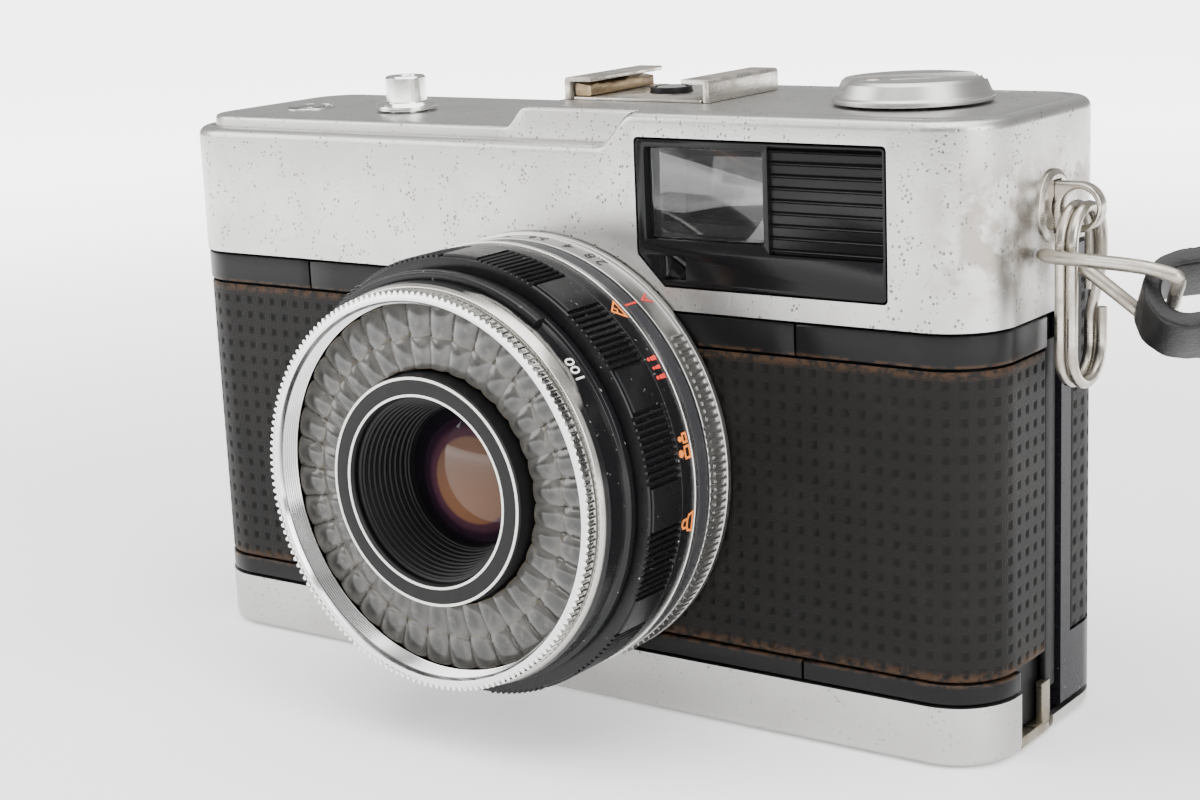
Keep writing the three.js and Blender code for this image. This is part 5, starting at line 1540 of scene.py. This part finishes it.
# %% The corroded spring in the left rail
leaf = [(-0.8, 71.35), (1.45, 71.35), (1.45, 72.6), (-0.8, 72.9)]
leaf_rows = []
for y in np.linspace(-5.4, 7.9, 20):
    bow = 0.10 * math.sin((y + 5.4) * 0.9) + 0.06 * math.sin(y * 2.7)
    leaf_rows.append([(x - (0.1 if x > 0 else 0) * bow * 3, y, z + (bow if z > 72 else 0))
                      for x, z in fillet(leaf, 0.25, 3)])
make("corroded_leaf_spring", swept(leaf_rows), BODY, BRASS, "shoe_spring", angle=50)

# %% Advance wheel, counter and film parts
turned_piece("thumb_wheel", [(0, 55.2), (1.8, 55.2), (1.8, 58.8), (10.3, 58.8), (10.6, 59.1),
                             (10.6, 62.1), (10.3, 62.4), (0, 62.4)], *WHEEL_AT, "advance",
             PLASTIC, "advance_wheel", 0.2, 90)
round_row("thumb_wheel_ribs", half_round(0.62, 3.2, 0.42, 5), 66, 10.58, PLASTIC, "advance",
          centre=(*WHEEL_AT, 60.6))
turned_piece("counter_crystal",
             [(0, 67.6), (2.95, 67.6), (2.95, 68.5), (2.6, 68.75), (1.5, 68.9), (0, 68.95)],
             *COUNTER_AT, BODY, CLEAR, "counter_window", 0.05, 48)
turned_piece("counter_bezel", [(2.98, 68.35), (3.18, 68.35), (3.3, 68.62), (3.05, 68.75)],
             *COUNTER_AT, BODY, BRIGHT, (), 0.04, 48)
turned_piece("counter_disc", [(0, 64.95), (5.4, 64.95), (5.4, 65.7), (0, 65.7)], *COUNTER_AT,
             "counter", PAINT, "counter_dial", 0.1, 48)


def on_dial(shape, angle):
    """A figure carried out to the dial's edge and turned with it."""
    c, s = math.cos(angle), math.sin(angle)
    return reshaped(shape, lambda x, y, z: (x * c - (y + 2.0) * s + COUNTER_AT[0],
                                            x * s + (y + 2.0) * c + COUNTER_AT[1], z + 65.75))


counter_marks = [on_dial(text_shape(text, 1.25), math.radians(-51.4 * k))
                 for k, text in enumerate(("S", "6", "12", "18", "24", "30", "36"))]
make("counter_figures", joined(*counter_marks), "counter", WHITE)
turned_piece("film_spool", [(0, 4.5), (8, 4.5), (8, 5.5), (5, 5.7), (5, 51.3), (8, 51.5),
                            (8, 52.5), (1.9, 52.5), (1.9, 58), (0, 58)], -41, 0.2, "takeup",
             PLASTIC, "takeup_spool", 0.25, 64,
             cutters=[slab(-38.2, -34, -0.4, 0.8, 11, 46), slab(-48, -43.8, -0.4, 0.8, 11, 46)])
print("controls dressed")

# %% [markdown]
# ## Back door, hinge, latch and base fittings
#
# The door is one pressed sheet that wraps both ends of the body, with its own panel of
# the same covering let into it, a rolled hinge, and a sliding latch whose grimy steel foot
# wraps the base.

# %% The door and its panel
DOOR_LOW, DOOR_HIGH = 2.4, 55.4
DOOR_START = side_distance(DOOR_EDGE)
PANEL_START = side_distance(5.15)
DOOR_END = 4 * TO_SIDE - DOOR_START
PANEL_END = 4 * TO_SIDE - PANEL_START


def rear_point(s, inset):
    """Distances run from the right side's middle round the back to the left side."""
    if s <= 2 * TO_SIDE:
        return outline_point(s, inset)
    x, y = outline_point(4 * TO_SIDE - s, inset)
    return -x, y


def rear_stations(s0, s1, coarse, fine):
    back = 2 * TO_SIDE
    edges = [back - STRAIGHT - ARC, back - STRAIGHT, back + STRAIGHT, back + STRAIGHT + ARC,
             PANEL_START, PANEL_START + 0.12, PANEL_END - 0.12, PANEL_END]
    return marks_between(s0, s1, edges,
                         lambda s: edges[0] <= s < edges[1] or edges[2] <= s < edges[3],
                         coarse, fine)


door_rows = []
for s in rear_stations(DOOR_START, DOOR_END, 8.0, 0.6):
    sunk = 0.55 if PANEL_START + 0.06 < s < PANEL_END - 0.06 else 0.0
    section = [(0.25, DOOR_LOW), (0.0, DOOR_LOW + 0.25), (0.0, 10.6), (sunk, 10.75),
               (sunk, 52.35), (0.0, 52.5), (0.0, DOOR_HIGH - 0.25), (0.25, DOOR_HIGH),
               (1.15, DOOR_HIGH), (1.15, DOOR_LOW)]
    door_rows.append([(*rear_point(s, inset), z) for inset, z in section])
make("pressed_door", swept(door_rows), "door", DOOR_PAINT, "rear_door", angle=40)
HINGE_AT = (-57.2, 1)
KNUCKLE_RUNS = ((3.4, 25.6), (31.4, 50.1))
knuckles = [moved(lathe(fillet([(0.7, z0), (1.2, z0), (1.2, z1), (0.7, z1)], 0.15, 3), 32),
                  *HINGE_AT) for z0, z1 in KNUCKLE_RUNS]
leaves = [slab(-57.95, -57.3, 1.9, 3.4, z0, z1) for z0, z1 in KNUCKLE_RUNS]
make("hinge_knuckles", joined(*knuckles), "door", DOOR_PAINT)
make("hinge_leaf", joined(*leaves), "door", DOOR_PAINT, (), bevel=0.1)
PANEL_STEP = 0.34
panel_across = np.linspace(PANEL_START + 0.15, PANEL_END - 0.15,
                           int((PANEL_END - PANEL_START) / PANEL_STEP))
panel_up = np.linspace(10.9, 52.2, int(41.3 / PANEL_STEP))
panel = cover_sheet("door_covering", pressed_sheet(rear_point, panel_across, panel_up, 0.02),
                    "door", "door_leather")
print("door covering:", len(panel.data.polygons), "faces")

# %% Latch, hinge pin, plate and base fittings
make("latch_foot", rounded_box(54.45, 57.8, -7.2, 0.4, 0.4, 1.7, 0.5), "latch", GRIMY,
     "door_latch", bevel=0.18)
make("latch_tab", slab(56.85, 57.8, -1.6, 0.4, 1.2, 6.4), "latch", GRIMY, (), bevel=0.22)
make("latch_bar", slab(56.85, 57.6, -0.55, 1.9, 5.3, 45.6), "latch", (MATT[0], "steel"), (),
     bevel=0.15)
turned_piece("hinge_rod", [(0, 2.9), (0.58, 2.9), (0.58, 50.6), (0.4, 50.8), (0, 50.8)],
             *HINGE_AT, BODY, STEEL, "hinge_pin", 0.1, 24)
STUDS = (-13.4, 14.6)
make("film_pressure_plate", front_slab(-24.3, 25.5, 13.9, 47.7, 12.08, 12.8, 1.5), "film_plate",
     PAINT, "pressure_plate", bevel=0.15, bevel_angle=50,
     cutters=[stood_up(disc(1.9, 10, 16, x, LENS_Z)) for x in STUDS])
for i, x in enumerate(STUDS):
    make(f"plate_stud_{i}", stood_up(disc(1.55, 13.4, 14.95, x, LENS_Z, 32)), "door", STEEL, (),
         bevel=0.2)
bush_thread = thread_teeth(6, 0.5, 0.5, 3.1, 3.35)
bush = [(6.5, 0.25), (6.5, 3.6), (3.1, 3.6)] + bush_thread[::-1]
turned_piece("tripod_socket", bush + [(3.1, 0.3), (3.45, 0.0), (6.25, 0.0)], *BUSH_AT, BODY,
             STEEL, "tripod_bush", 0.04, 72)
turned_piece("release_stud",
             [(0, 0.55), (1.2, 0.35), (1.6, 0.2), (2.2, 0.2), (2.4, 0.4), (2.4, 3.0), (0, 3.0)],
             *RELEASE_AT, "release", STEEL, "rewind_release", 0.08, 48)
for name, x in (("base_screw_left", -BASE_SCREW_X), ("base_screw_right", BASE_SCREW_X)):
    turned_piece("countersunk_" + name,
                 [(0, 0.12), (1.5, 0.18), (2.1, 0.45), (2.1, 1.2), (0, 1.2)], x, 0, BODY, STEEL,
                 name, 0.1, 40, cutters=[slab(x - 3, x + 3, -0.3, 0.3, -1, 0.65)])
print("door and base dressed")

# %% [markdown]
# ## Lugs, ring, link and strap fold
#
# The split ring is spring wire wound twice; a bent wire link hangs from it and carries
# the folded end of the strap. Wires are swept with a frame that turns as little as
# possible, so they don't twist.

# %% Bent wire
def wire_rows(route, radius, sides=12):
    """Round rows of points along a route."""
    rows = []
    ahead = unit(route[1] - route[0])
    side = np.cross(ahead, (0.0, 0.0, 1.0))
    if np.linalg.norm(side) < 0.1:
        side = np.cross(ahead, (0.0, 1.0, 0.0))
    side = unit(side)
    for i, here in enumerate(route):
        ahead = heading(route, i)
        side = side - ahead * side.dot(ahead)
        side = unit(side)
        up = np.cross(ahead, side)
        rows.append([here + radius * (side * math.cos(a) + up * math.sin(a))
                     for a in np.linspace(0, 2 * math.pi, sides, endpoint=False)])
    return rows


def racetrack(at, radius, run):
    """A place on two straight runs joined by half circles, and the way outwards there.

    The path starts along +X on the lower straight; at is the distance from its start.
    """
    arc = math.pi * radius
    at %= 2 * (run + arc)
    upper = at >= run + arc
    at -= (run + arc) * upper
    turn = -1 if upper else 1
    if at < run:
        return (run - at if upper else at, -turn * radius), (0, -turn)
    angle = (at - run) / radius
    out = (turn * math.sin(angle), -turn * math.cos(angle))
    return ((0 if upper else run) + radius * out[0], radius * out[1]), out


# %% Lugs on both sides
LUG_HALF, LUG_ROOT, LUG_TIP, EYE_X = 2.7, 55.9, 64, 61.4


def lug_shape(side):
    outline = [(LUG_ROOT, LUG_Z - LUG_HALF)]
    outline += [(LUG_TIP - LUG_HALF + LUG_HALF * math.sin(a), LUG_Z - LUG_HALF * math.cos(a))
                for a in np.linspace(0, math.pi, 24)]
    outline.append((LUG_ROOT, LUG_Z + LUG_HALF))
    return reshaped(prism(outline, -0.88, 0.88), lambda x, y, z: (x * side, z, y))


for side, name in ((1, "strap_lug_right"), (-1, "strap_lug_left")):
    eye = stood_up(disc(2.0, -4, 4, side * EYE_X, LUG_Z, 40))
    make("stamped_" + name, lug_shape(side), BODY, NICKEL, name, bevel=0.3, bevel_angle=50,
         segments=3, cutters=[eye])
washer = lathe(fillet([(1.5, 0), (4.0, 0), (4.0, 0.35), (3.4, 0.7), (1.5, 0.7)], 0.12, 3), 56)
make("lug_washer", reshaped(washer, lambda x, y, z: (57.95 + z, x, LUG_Z + y)), BODY, NICKEL,
     (), cutters=[slab(50, 70, -1.0, 1.0, 57.4, 63.2)])

# %% Split ring wound twice
RING_WIRE = 1.28


def ring_route():
    turns, steps = 1.96, 120
    r, reach = 4.5 - RING_WIRE / 2, 20.5 / 2 - 4.5
    around = 2 * math.pi * r + 4 * reach
    route = []
    for i in range(int(steps * turns) + 1):
        share = i / steps
        (along, across), _ = racetrack(share * around + reach, r, 2 * reach)
        step = 0.66 * min(max((share - 1) / 0.06, -1), 1)
        route.append(np.array([EYE_X + step, -across, 61.05 - 10.25 + along - reach]))
    return np.array(route)


make("wound_split_ring", swept(wire_rows(ring_route(), RING_WIRE / 2)), "lug_ring", NICKEL,
     "split_ring", angle=50)

# %% The link and the folded strap end
LINK_POINTS = [
    (73.4, -4.3, 51.5), (74.3, -5.8, 53), (75.2, -7.4, 54.6), (74.6, -8, 55.2),
    (71.2, -7.6, 55.7), (66, -6.8, 55.8), (61.5, -6.1, 55.8), (59.6, -5.3, 55.8),
    (59, -3.9, 55.5), (60.1, -2.2, 54.9), (62.8, -2, 53.9), (66.2, -1.4, 51.4),
    (69.3, -0.5, 48.8), (70.6, -0.2, 48), (71.5, -0.9, 48.5), (72.4, -2.5, 49.9),
    (72.9, -3.4, 50.7),
]
make("bent_wire_link", swept(wire_rows(smooth_route(LINK_POINTS, 8), 0.75)), "link", NICKEL,
     "wire_link", angle=50)


def on_fold(run, across, along):
    return np.array(FOLD_CENTRE + FOLD_RUN * run + FOLD_ACROSS * across + FOLD_AXIS * along)


def fold_rows():
    """A wide leather loop round the link's bar, creased on its outer face and pinched narrower
    where it turns.
    """
    section = fillet([(-0.95, -4.0), (0.95, -4.0), (0.95, 4.0), (-0.95, 4.0)], 0.55, 4)
    section = [p for a, b in zip(section, section[1:] + section[:1])
               for p in (a, tuple((Vector(a) + Vector(b)) / 2))]
    rows, r, run = [], 3.65, 9.0
    steps = 96
    around = 2 * math.pi * r + 2 * run
    for i in range(steps):
        centre, out = racetrack(around * i / steps, r, run)
        pinch = 1 - 0.10 * math.exp(-((centre[0] + 3) / 3.5) ** 2)
        row = []
        for depth, width in section:
            crease = 0.10 * math.sin(width * 2.1 + i * 0.7) * math.sin(i * 0.52)
            push = depth + (crease if depth > 0 else 0)
            row.append(on_fold(centre[0] + out[0] * push, centre[1] + out[1] * push,
                               width * pinch))
        rows.append(row)
    return rows


make("folded_strap_end", swept(fold_rows(), closed_path=True), "link", STRAP, "strap_end",
     angle=60)
rivet = lathe(fillet([(0, 0), (1.5, 0), (1.5, 0.25), (1.1, 0.75), (0, 0.95)], 0.2, 3), 32)
rivet_at = np.array([on_fold(5.6 + x, 4.55 + h, 1.6 + y) for x, y, h in rivet[0]])
make("strap_rivet", (rivet_at, rivet[1]), "link", BRIGHT)
clasp_box = rounded_box(13.75, 19.05, -2.55, 2.55, -4.75, 4.75)
clasp_at = np.array([on_fold(*p) for p in clasp_box[0]])
make("strap_clasp_cap", (clasp_at, clasp_box[1]), "link", BRIGHT, (), bevel=0.4, bevel_angle=50)
for fold_stitch in (-3.1, 3.1):
    for k in range(7):
        at = on_fold(1.2 + k * 1.35, 4.62, fold_stitch)
        ahead = np.array(FOLD_RUN)
        route = np.array([at - ahead * 0.45, at + np.array(FOLD_ACROSS) * 0.12,
                          at + ahead * 0.45])
        make(f"stitch_{'ab'[fold_stitch > 0]}_{k}", swept(wire_rows(route, 0.16, 6)), "link",
             STRAP, (), angle=60)
coated(NODES["strap_clasp"], BRIGHT)

# %% Finishes for the frame's own inner pieces
for name, coat in (("chassis", MATT), ("lens_core", MATT), ("shutter_plate", PAINT),
                     ("rear_glass", CLEAR), ("sprocket", STEEL)):
    coated(NODES[name], coat)
print("strap fittings dressed")

# %% [markdown]
# ## Table and light
#
# A pale table that glows as painted light, more strongly the further it lies from the body, and
# large soft lights, so that the chrome shows broad gradients.

# %% The stage
def stage_finish():
    f = Finish("pale_table", (0.93, 0.93, 0.935), 0.6, 0.0, Emission_Strength=4.2)
    x, y, _ = f.axes()
    # painted light: the table glows, faintly near the body and brightly far away
    away = (x * x + y * y) ** 0.5
    glow = away.ramp(90.0, 620.0) * 0.9 + 0.10
    return f.feed("Emission Color", f.mix(glow, (0, 0, 0), (1, 1, 1))).material


table = shown(raw_mesh("table", slab(-2500, 2500, -2500, 2500, -20, -0.02)), "table")
table.data.materials.append(stage_finish())


def soft_light(name, at, size, power):
    """A square lamp that faces the middle of the body's foot."""
    data = bpy.data.lights.new(name, "AREA")
    data.energy = power
    data.shape = "RECTANGLE"
    data.size = data.size_y = size
    lamp = bpy.data.objects.new(name, data)
    direction = Vector((0, 0, 0.03)) - Vector(at)
    lamp.rotation_euler = direction.to_track_quat("-Z", "Y").to_euler()
    lamp.location = at
    bpy.context.scene.collection.objects.link(lamp)
    return lamp


soft_light("overhead_panel", (0.05, -0.1, 0.75), 0.9, 13.0)
soft_light("left_panel", (-0.7, -0.45, 0.45), 0.6, 6.5)
soft_light("right_panel", (0.75, -0.25, 0.4), 0.5, 6.5)
world = bpy.data.worlds.new("soft_room")
bpy.context.scene.world = world
world.use_nodes = True
world.node_tree.nodes["Background"].inputs[0].default_value = (1, 1, 1, 1)
world.node_tree.nodes["Background"].inputs[1].default_value = 0.5

# %% [markdown]
# ## The end

# The dressed model has to stay the size of its frame.

# %% The end
print("camera dressed")
